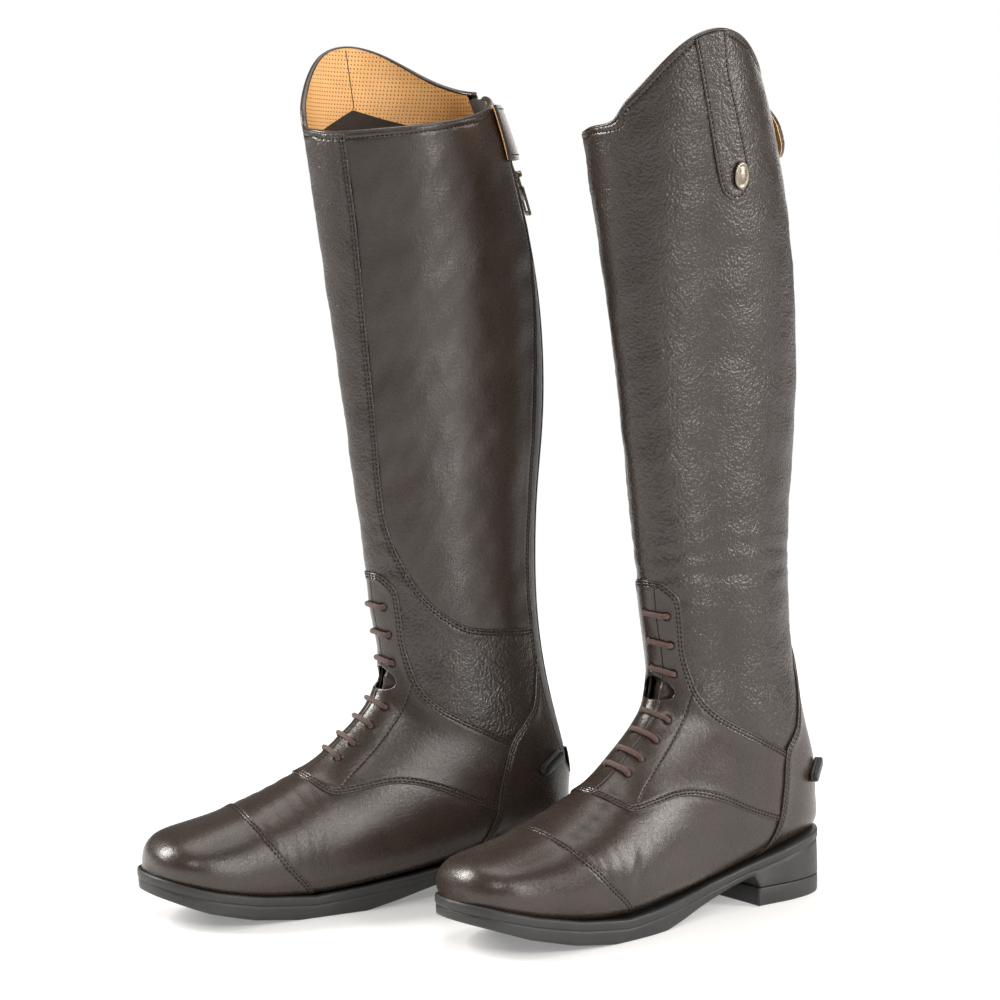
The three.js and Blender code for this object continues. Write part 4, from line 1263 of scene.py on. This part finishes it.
def footbed(boot):
    """The foam footbed, a little hollowed under the heel and raised at the arch."""
    count, across = 60, 24
    xs = np.linspace(6, 262, count)
    under, over = [], []
    k = np.linspace(-1, 1, across)
    for x, right, left in zip(xs, *outline_width(sole_outline(), xs)):
        reach = min(x - 2, 268 - x)
        end = min(1.0, math.sqrt(max(0, 1 - (1 - reach / 30) ** 2)) if reach < 30 else 1.0)
        y = np.linspace(left * 0.80 * end, right * 0.80 * end, across)
        floor = np.interp(x, *np.transpose(FEATHER))
        cup = 1.0 * np.abs(k) ** 3 + (0.8 if 60 < x < 160 else 0) * np.clip(-k, 0, 1) ** 2
        over.append(np.stack([np.full(across, x), y, floor + 7.4 + cup - 1.2 * (1 - end)], 1))
        under.append(np.stack([np.full(across, x), y, np.full(across, floor + 4.4)], 1))
    n = count * across
    quads, (loop, after) = grid_quads(count, across)[:, [0, 3, 2, 1]], grid_rim(count, across)
    wall = np.stack([loop, after, after + n, loop + n], 1)
    obj = boot.piece("footbed", np.vstack(over + under), [quads, quads[:, ::-1] + n, wall], "foam",
                     replaces=("footbed",))


# ---- Lacing --------------------------------------------------------------------------------
def lace_route(bars, lacing):
    """Points from hole to hole: up out of one, over the facing and down into the next."""
    route = []
    for i, z in enumerate(bars):
        hole = lace_span(bars) * (-1 if i % 2 == 0 else 1)
        bar = [(z + 1, 1.1, -2.6), (z, 1.05, 0.9), (z, 0.7, 2.3), (z, 0, 2.3), (z, -0.7, 2.3), (z, -1.05, 0.9),
               (z - 1, -1.1, -2.6)]
        first, last = [(z + 5, 1.05, -3.0)] * (i == 0), [(z - 5, -1.05, -3.0)] * (i == len(bars) - 1)
        for height, share, depth in first + bar + last:
            P, N = SKIN(before_at([height], [lacing + hole * share])[0])
            route.append(P[0] + N[0] * depth)
    return np.array(route)


def laces(boot):
    """Elastic cord from hole to hole, with the slant of its braid as low ribs."""
    for name, bars in (("upper_lace", UPPER_BARS), ("lower_lace", LOWER_BARS)):
        route = lace_route(bars, boot.lacing)
        path = catmull(route, np.linspace(0, len(route) - 1, (len(route) - 1) * 14))
        tangent = normalized(np.gradient(path, axis=0))
        side = normalized(np.cross(tangent, np.array([0.9, 0.1, 0.4])))
        w = angles(12)
        r = 1.5 + 0.10 * np.cos(3 * w[None] + run_length(path)[:, None] * 3.0)
        outline = np.stack([r * np.cos(w), -r * np.sin(w)], 2)
        boot.piece(name, *swept(path, np.cross(side, tangent), outline), "cord", replaces=(name,))


# ---- Zip -----------------------------------------------------------------------------------
def zip_track(boot):
    """The woven tape on both sides, and two rows of teeth that meet in the middle."""
    ys = np.array([-12, -10, -7.5, -6, -4.5, -3, -1.5, 0, 1.5, 3, 4.5, 6, 7.5, 10, 12.0])
    P, N, shape = lattice(behind_at(np.linspace(ZIP_BOTTOM - 7, 496.5, 136), ys)[:, ::-1])
    rib = np.tile(np.array([0, 0, .12, 0, .14, .05, 0, 0, 0, .05, .14, 0, .12, 0, 0]), shape[0])
    points, faces, sharp = slab(P, N, shape, -1.9 + rib, 0.8)
    boot.piece("zip_tape", points, faces, "tape", replaces=("zip_tape",), sharp=sharp)
    pitch = 2.6
    teeth = np.arange(ZIP_BOTTOM + 3, 487, pitch)
    box = np.array([(a, b, c) for c in (-1, 1) for b in (-1, 1) for a in (-1, 1)], float)
    box *= np.stack([1.6 - 0.35 * (box[:, 2] > 0), 0.62 - 0.12 * (box[:, 2] > 0), np.full(8, 0.75)], 1)
    sides = np.array([(0, 2, 3, 1), (4, 5, 7, 6), (0, 1, 5, 4), (2, 6, 7, 3), (0, 4, 6, 2), (1, 3, 7, 5)])
    lots = []
    for sign in (-1, 1):
        C, M = SKIN(behind_at(teeth + pitch / 2 * (sign > 0), [sign * 1.0])[:, 0])
        up = normalized(UP - M * M[:, 2:])
        axes = np.stack([np.cross(up, M), up, M], 1)
        starts = (np.arange(len(teeth)) * len(box))[:, None, None]
        lots.append((((C - M * 1.0)[:, None] + box @ axes).reshape(-1, 3), (sides[None] + starts).reshape(-1, 4)))
    boot.piece("zip_teeth", *merged(lots), "metal")


def zip_edge_piping(boot):
    """A thin dark cord folded into the leather on both sides of the zip."""
    lots = []
    for sign in (-1, 1):
        P, N = SKIN(behind_at(np.linspace(ZIP_BOTTOM, 494, 150), [sign * (ZIP_HALF + 0.1)])[:, 0])
        lots.append(swept(P - N * 0.1, N, ellipse(0.9, 0.75, 8)))
    boot.piece("zip_piping", *merged(lots), "black")


class OnZip:
    """Places beside the closed slider: out is away from the arc's centre, y across, z along.

    The place is a mirrored one, so faces put there are turned over."""

    def __init__(self, height=449.0):
        angle = math.asin((height - ARC_Z) / ARC_RADIUS)
        self.c, self.s = math.cos(angle), math.sin(angle)

    def __call__(self, p):
        p = np.asarray(p, float)
        x = -(ARC_RADIUS + p[:, 0])
        along, up = x * self.c + p[:, 2] * self.s, p[:, 2] * self.c - x * self.s
        return np.stack([ARC_X + along, p[:, 1], ARC_Z + up], 1)


def counter_clockwise(loop):
    after = np.roll(loop, -1, axis=0)
    return loop if np.sum(loop[:, 0] * after[:, 1] - after[:, 0] * loop[:, 1]) >= 0 else loop[::-1]


def shrink(loop, by):
    """A counter-clockwise loop of two coordinates, moved inwards."""
    tangent = normalized(np.roll(loop, -1, 0) - np.roll(loop, 1, 0))
    return loop + np.stack([-tangent[:, 1], tangent[:, 0]], 1) * np.reshape(by, (-1, 1))


def rounded_plate(outline, low, high, bevel=0.35, hole=None):
    """A flat outline of (y, z) between two heights, with bevelled edges and maybe a window."""
    steps = [(bevel, low), (0, low + bevel), (0, high - bevel), (bevel, high)]
    loop = counter_clockwise(np.asarray(outline, float))
    rings = [(shrink(loop, inset), out) for inset, out in steps]
    if hole is not None:
        loop = counter_clockwise(np.asarray(hole, float))
        rings += [(shrink(loop, -inset), out) for inset, out in steps[::-1]]
    return loft([np.column_stack([np.full(len(ring), out), ring]) for ring, out in rings], closed=hole is not None)


def rounded_box(half_y, low, high, corner, count=5):
    """A rounded rectangle of (y, z), counter-clockwise."""
    out = []
    for cy, cz, start in ((half_y - corner, high - corner, 0), (-half_y + corner, high - corner, 90),
                          (-half_y + corner, low + corner, 180), (half_y - corner, low + corner, 270)):
        for k in range(count):
            a = math.radians(start + 90 * k / (count - 1))
            out.append((cy + corner * math.cos(a), cz + corner * math.sin(a)))
    return np.array(out)


def tube(a, b, radius, sides=12):
    """A closed pin from a to b."""
    a, b = np.array(a, float), np.array(b, float)
    axis = normalized((b - a)[None])[0]
    other = np.array([1.0, 0, 0]) if abs(axis[0]) < 0.9 else np.array([0, 0, 1.0])
    path = np.array([a, a + axis * 0.15, b - axis * 0.15, b])
    scale = np.array([0.85, 1, 1, 0.85])[:, None, None] * radius
    return swept(path, np.repeat(other[None], 4, 0), ellipse(1, 1, sides)[None] * scale)


def zip_slider(boot):
    place = OnZip()
    lots = [rounded_plate(rounded_box(4.0, -7, 7, 2.2), 0.6, 2.2, 0.4)]
    for y in (-3, 3):
        p, f = rounded_plate(rounded_box(2.0, 0, 4.4, 0.9), y - 0.7, y + 0.7, 0.2)
        lots.append((p[:, [2, 0, 1]] + np.array([1.8, 0, 0]), f))
    lots.append(tube((4.4, -3.4, 0), (4.4, 3.4, 0), 0.7))
    points, faces = merged(lots)
    boot.piece("zip_slider", place(points), turned_over(faces), "metal", part="zip_slider",
               replaces=("zip_slider",))
    circle = ellipse(1, -1, 20)
    p, f = rounded_plate(1.9 * circle, -1.7, 1.7, 0.25, hole=circle)
    eye = p[:, [1, 0, 2]] + np.array([4.4, 0, 0]), turned_over(f)
    neck = rounded_plate(rounded_box(1.5, -9, -1.2, 0.5), 3.7, 5.1, 0.3)
    tab = rounded_plate(rounded_box(3.8, -27, -7.5, 1.6), 3.7, 5.1, 0.35, hole=rounded_box(1.8, -24, -17, 0.9))
    points, faces = merged([eye, neck, tab])
    boot.piece("zip_puller", place(points), turned_over(faces), "metal", part="zip_puller",
               replaces=("zip_puller",))


def snap_strap(boot):
    """The strap over the top of the zip, stitched at the inner side and pointed at the outer side."""
    rows, columns = 29, 90
    s, k = np.linspace(0, 1, columns), np.linspace(-1, 1, rows)
    tip = np.clip((s - 0.72) / 0.28, 0, 1)
    half = 15.8 * (1 - 0.66 * tip ** 2.2)
    middle = 473.2 - 2.7 * tip
    around = behind_at([470.5], -32 + 52.5 * s)[0, :, 1]
    tv = np.zeros((rows, columns, 2))
    tv[..., 0] = np.interp(middle + k[:, None] * half, *T_OF_HEIGHT)
    tv[..., 1] = around
    P, N, shape = lattice(tv[:, ::-1])

    def rise(P):
        return np.interp(P[:, 1], [-32, 20], [2.8, 4.6])

    edge = np.minimum((1 - np.abs(np.repeat(k, columns))) * np.tile(half[::-1], rows), 9)
    dome = 0.35 * (1 - np.exp(-edge / 1.2))
    groove = -0.28 * near(edge, 2.6, 0.4)
    points, faces, sharp = slab(P, N, shape, rise(P) + 1.4 + dome + groove, 1.7)
    boot.piece("snap_strap", points, faces, "smooth", part="snap_strap", replaces=("snap_strap",), sharp=sharp)
    boot.piece("strap_lining", *slab(P, N, shape, rise(P) - 0.25, 0.55)[:2], "tan", part="snap_strap")
    inner = slice(2, -3)
    runs = [np.stack([np.interp(middle[inner] + sign * (half[inner] - 2.6), *T_OF_HEIGHT), around[inner]], 1)
            for sign in (-1, 1)]
    boot.piece("strap_stitching", *stitches(runs, lambda P, N: rise(P) + 1.5), "thread", part="snap_strap")


# ---- Trim ----------------------------------------------------------------------------------


def turned(profile, place, stretch=(1, 1), sides=40):
    """A profile of (radius, height) turned about the normal of a place on the skin."""
    at, across, up, out = place
    w = angles(sides)
    return loft([at + np.outer(r * stretch[0] * np.cos(w), across) + np.outer(r * stretch[1] * np.sin(w), up)
                 + h * out for r, h in profile])


def studs(boot):
    oval = [(5.3, 0), (5.5, 0.5), (5.4, 1.0), (5.0, 1.35), (4.4, 1.45), (4.0, 1.15), (3.7, 1.0), (3.3, 1.1),
            (2.6, 1.35), (1.6, 1.55), (0.6, 1.62)]
    place = standing(locate((101.2, 46.2, 446.8)), 2.0, 0.12)
    boot.piece("badge", *turned(oval, place, (1, 1.5)), "metal", replaces=("badge",))
    disc = [(4.2, 0), (4.5, 0.3), (4.4, 0.9), (3.9, 1.15), (2.6, 1.1), (2.3, 1.5), (1.9, 1.75), (1.1, 1.85),
            (0.4, 1.88)]
    place = standing(behind_at([470], [13])[0, 0], 0.5)
    boot.piece("press_stud", *turned(disc, place), "metal", replaces=("press_stud",))


def spur_rests(boot):
    """A ribbed rubber ledge with round ends on each side of the heel."""
    w = np.linspace(-np.pi / 2, np.pi / 2, 12)
    end = np.stack([7 + 3.5 * np.cos(w), 3.5 * np.sin(w)], 1)
    loop = np.vstack([end, -end])
    levels = [(0, 1.0), (1.6, 1.0), (1.9, 0.93), (2.3, 0.93), (2.6, 1.0), (3.2, 1.0), (3.5, 0.93), (3.8, 0.93),
              (4.1, 0.97), (4.5, 0.80)]
    for name, y, z, lean in (("spur_rest_outer", 25, 68, 0.5), ("spur_rest_inner", -29, 65, -0.5)):
        at, across, up, out = standing(behind_at([z], [y])[0, 0], 0.4, lean)
        rings = [at + np.outer(loop[:, 0] * (1 - (1 - scale) * 0.4), across) + np.outer(loop[:, 1] * scale, up)
                 + h * out for h, scale in levels]
        boot.piece(name, *loft(rings), "black", replaces=(name,))


def heel_tab(boot):
    """A small dark tab sewn over the end of the zip."""
    P, N, shape = lattice(behind_at(np.linspace(68, 84, 14), np.linspace(8, -15, 22)))
    points, faces, sharp = slab(P, N, shape, np.full(len(P), 1.5), 1.2)
    boot.piece("heel_tab", points, faces, "black", sharp=sharp)


# ---- Sole ----------------------------------------------------------------------------------
SOLE_OUTER = [(281, 4), (278, 17), (270, 29), (255, 38), (235, 43.5), (210, 47), (185, 47.5), (160, 46), (135, 41.5),
              (110, 36), (86, 33.5), (61, 34), (35, 35), (14, 31), (1, 21), (-5, 5)]
SOLE_INNER = [(281, 4), (277, 19), (268, 32), (255, 39.5), (235, 42.5), (210, 41.5), (185, 39), (160, 37.5), (135, 36),
              (110, 35), (86, 35), (61, 35.5), (35, 35), (14, 31), (1, 21), (-5, 5)]
UNDERSIDE = [(290, 24), (278, 20), (250, 11), (220, 4), (190, 0.05), (145, 0.05), (125, 4), (105, 9), (86, 14),
             (66, 18.6)]
HEEL_BREAST, TOP_PIECE = 65.0, 11.5


def sole_outline(count=300):
    """The sole's outline from above, evenly spaced, from the toe by the outer side and back."""
    outer = np.array(SOLE_OUTER, float)
    inner = np.array([(x, -y) for x, y in SOLE_INNER[::-1]], float)
    loop = np.vstack([outer, inner])
    closed = np.vstack([loop[-1:], loop, loop[:2]])
    fine = catmull(closed, np.linspace(1, len(closed) - 2, 2000))[:-1]
    run = run_length(fine)
    return read_along(np.linspace(0, run[-1], count + 1)[:-1], run, fine)


def outline_width(outline, xs):
    """How far the outline reaches to the outer and the inner side at each x."""
    half = len(outline) // 2
    a, b = outline[:half + 1], outline[half:]
    high = np.interp(xs, a[::-1, 0], a[::-1, 1])
    order = np.argsort(b[:, 0])
    return high, np.interp(xs, b[order, 0], b[order, 1])


def ledge(outline):
    """How far the sole's outline stands out from the upper where they meet, less a small lip."""
    upper = np.vstack([SKIN(tv)[0] for tv in BASE.lines(SOLE_EDGE, 0)])[:, :2]
    gap = np.array([np.linalg.norm(upper - p, axis=1).min() for p in outline])
    smooth = np.convolve(np.concatenate([gap[-4:], gap, gap[:4]]), np.ones(9) / 9, "valid")
    return np.clip(smooth - 1.9, 0, 7)


def outsole(boot):
    """Rings round the outline from inside the feather over a welt bead and down the wall, then inwards."""
    outline = sole_outline()
    x = outline[:, 0]
    is_heel = x < HEEL_BREAST
    top = np.interp(x, *np.transpose(FEATHER))
    bottom = np.where(x > HEEL_BREAST, np.interp(x, *np.transpose(UNDERSIDE[::-1])), TOP_PIECE + 0.35)
    tall = top - bottom
    low = top - np.minimum(5.0, tall * 0.54)
    slack = ledge(outline)
    hold = slack * (0.55 - 0.35 * np.clip((72 - x) / 30, 0, 1))
    flat = hold * (x >= HEEL_BREAST)
    levels = [(slack + 6.0, top - 1.2), (slack + 1.4, top + 0.15), (slack + 0.6, top + 0.5),
              ((slack + hold) / 2 + 0.5, top + 0.62), (hold + 0.55, top + 0.35), (hold + 0.12, top - 0.35),
              (hold, top - 1.2), (hold, low + 1.0), (hold + 0.2, low + 0.35), (hold + 0.8, low),
              (hold + 1.0, low - 0.35), (hold + 0.6, low - 0.8)]
    low = low - 0.8
    levels += [(hold * (1 - share * is_heel) + 0.5 + 0.25 * share, low - (low - bottom) * share)
               for share in (0.15, 0.4, 0.65, 0.93)]
    levels += [(flat + 1.0, bottom + np.minimum(0.25, tall * 0.05)), (flat + 1.6, bottom)]
    rings = [np.column_stack([shrink(outline, inset), z]) for inset, z in levels]
    rings += [rings[-1] * np.array([1, 1 - share, 1]) for share in (0.25, 0.5, 0.75, 0.97)]
    points, faces = loft(rings)
    boot.piece("outsole", points, turned_over(faces), "sole", replaces=("outsole",))


def heel_top(boot):
    """The heel's lower layer: a rounded block with a straight front."""
    outline = sole_outline(400)
    keep = outline[outline[:, 0] < HEEL_BREAST + 1.5]
    start = np.argmax(np.linalg.norm(np.diff(np.vstack([keep, keep[:1]]), axis=0), axis=1)) + 1
    loop = np.roll(keep, -start, axis=0)
    loop = np.vstack([loop, np.linspace(loop[-1], loop[0], 24)[1:-1]])
    levels = [(4.5, 0.0), (1.9, 0.0), (1.3, 0.25), (1.05, 0.7), (0.95, 1.4), (0.8, 5.8), (0.95, 10.7),
              (1.15, 11.2), (1.6, TOP_PIECE), (4.0, TOP_PIECE)]
    rings = [np.column_stack([shrink(loop, inset), np.full(len(loop), z)]) for inset, z in levels]
    boot.piece("heel_top_piece", *loft(rings), "sole", replaces=("heel_top_piece",))


HEIGHTS = np.linspace(80, 530, 600)
T_OF_HEIGHT = (HEIGHTS, np.array([fan_at(z, BACK) for z in HEIGHTS]))
BUILDERS = (leather, pull_strip, rim_bead, collar_lining, shaft_lining, tongue, footbed, laces, zip_track,
            zip_edge_piping, zip_slider, snap_strap, studs, spur_rests, heel_tab, outsole, heel_top)

LEFT, RIGHT = Boot("left", 1, 5.5), Boot("right", -1, -4.0)
for one in (LEFT, RIGHT):
    for build in BUILDERS:
        build(one)


for name, node in frame["nodes"].items():
    look = NODE_LOOK.get(name.split("_", 1)[1])
    if look:
        for slot in node.material_slots:
            slot.material = MATERIAL[look]


# ---- Floor, light and camera ---------------------------------------------------------------
def stage():
    """A flat white floor that glows where it is far from the boots, so that it has no horizon."""
    mesh = bpy.data.meshes.new("floor")
    mesh.from_pydata([(-9, -4, 0), (9, -4, 0), (9, 40, 0), (-9, 40, 0)], [], [(0, 1, 2, 3)])
    floor = bpy.data.objects.new("floor", mesh)
    bpy.context.scene.collection.objects.link(floor)
    m = Nodes("floor")
    away = m.add("ShaderNodeVectorMath", {"operation": "LENGTH"}, i0=m.place).outputs["Value"]
    m.set(Base_Color=m.mix(m.ramp(away, 0.45, 1.3), (0.80, 0.80, 0.80), (0, 0, 0)), Roughness=0.9)
    m.set(Specular_IOR_Level=0.0, Emission_Color=(1, 1, 1, 1),
          Emission_Strength=m.ramp(away, 0.35, 1.2, FLOOR_GLOW, 1.02))
    mesh.materials.append(m.material)


def light(name, place, target, size, power, colour=(1, 0.965, 0.92)):
    data = bpy.data.lights.new(name, "AREA")
    data.shape, (data.size, data.size_y) = "RECTANGLE", size
    data.energy, data.color = power, colour
    obj = bpy.data.objects.new(name, data)
    obj.location = place
    obj.rotation_euler = (Vector(target) - Vector(place)).to_track_quat("-Z", "Y").to_euler()
    bpy.context.scene.collection.objects.link(obj)


FLOOR_GLOW = 0.24
stage()
light("key", (-1.8, 0.2, 1.25), (0, 0, 0.15), (0.5, 1.0), 58)
light("strip", (1.15, -1.45, 0.8), (0, 0, 0.3), (0.22, 1.5), 20)
light("side", (1.9, -0.35, 0.8), (0, 0, 0.2), (0.5, 1.0), 22)
light("top", (0.1, 0.2, 2.1), (0, 0, 0.2), (1.6, 1.4), 26)
light("front", (-0.1, -2.3, 1.7), (0, 0, 0.15), (0.5, 0.4), 15)
light("rear", (0.6, 1.7, 1.0), (0, 0, 0.3), (1.2, 1.0), 8)

world = bpy.data.worlds.new("studio")
bpy.context.scene.world = world
world.use_nodes = True
tree = world.node_tree
tree.nodes.clear()
output = tree.nodes.new("ShaderNodeOutputWorld")
path = tree.nodes.new("ShaderNodeLightPath")
mix = tree.nodes.new("ShaderNodeMixShader")
tree.links.new(path.outputs["Is Camera Ray"], mix.inputs[0])
for socket, strength in ((1, 0.16), (2, 1.0)):
    back = tree.nodes.new("ShaderNodeBackground")
    back.inputs[0].default_value, back.inputs[1].default_value = (1, 1, 1, 1), strength
    tree.links.new(back.outputs[0], mix.inputs[socket])
tree.links.new(mix.outputs[0], output.inputs[0])

camera = bpy.data.cameras.new("camera")
camera.lens, camera.sensor_width = 89.782, 36.0
eye = bpy.data.objects.new("camera", camera)
eye.location = (LEFT.origin[0] - 0.1899, LEFT.origin[1] - 1.572398, 0.397623)
eye.rotation_euler = (math.radians(90 - 5.526), 0, 0)
bpy.context.scene.collection.objects.link(eye)
bpy.context.scene.camera = eye
bpy.context.scene.view_settings.view_transform = "Standard"
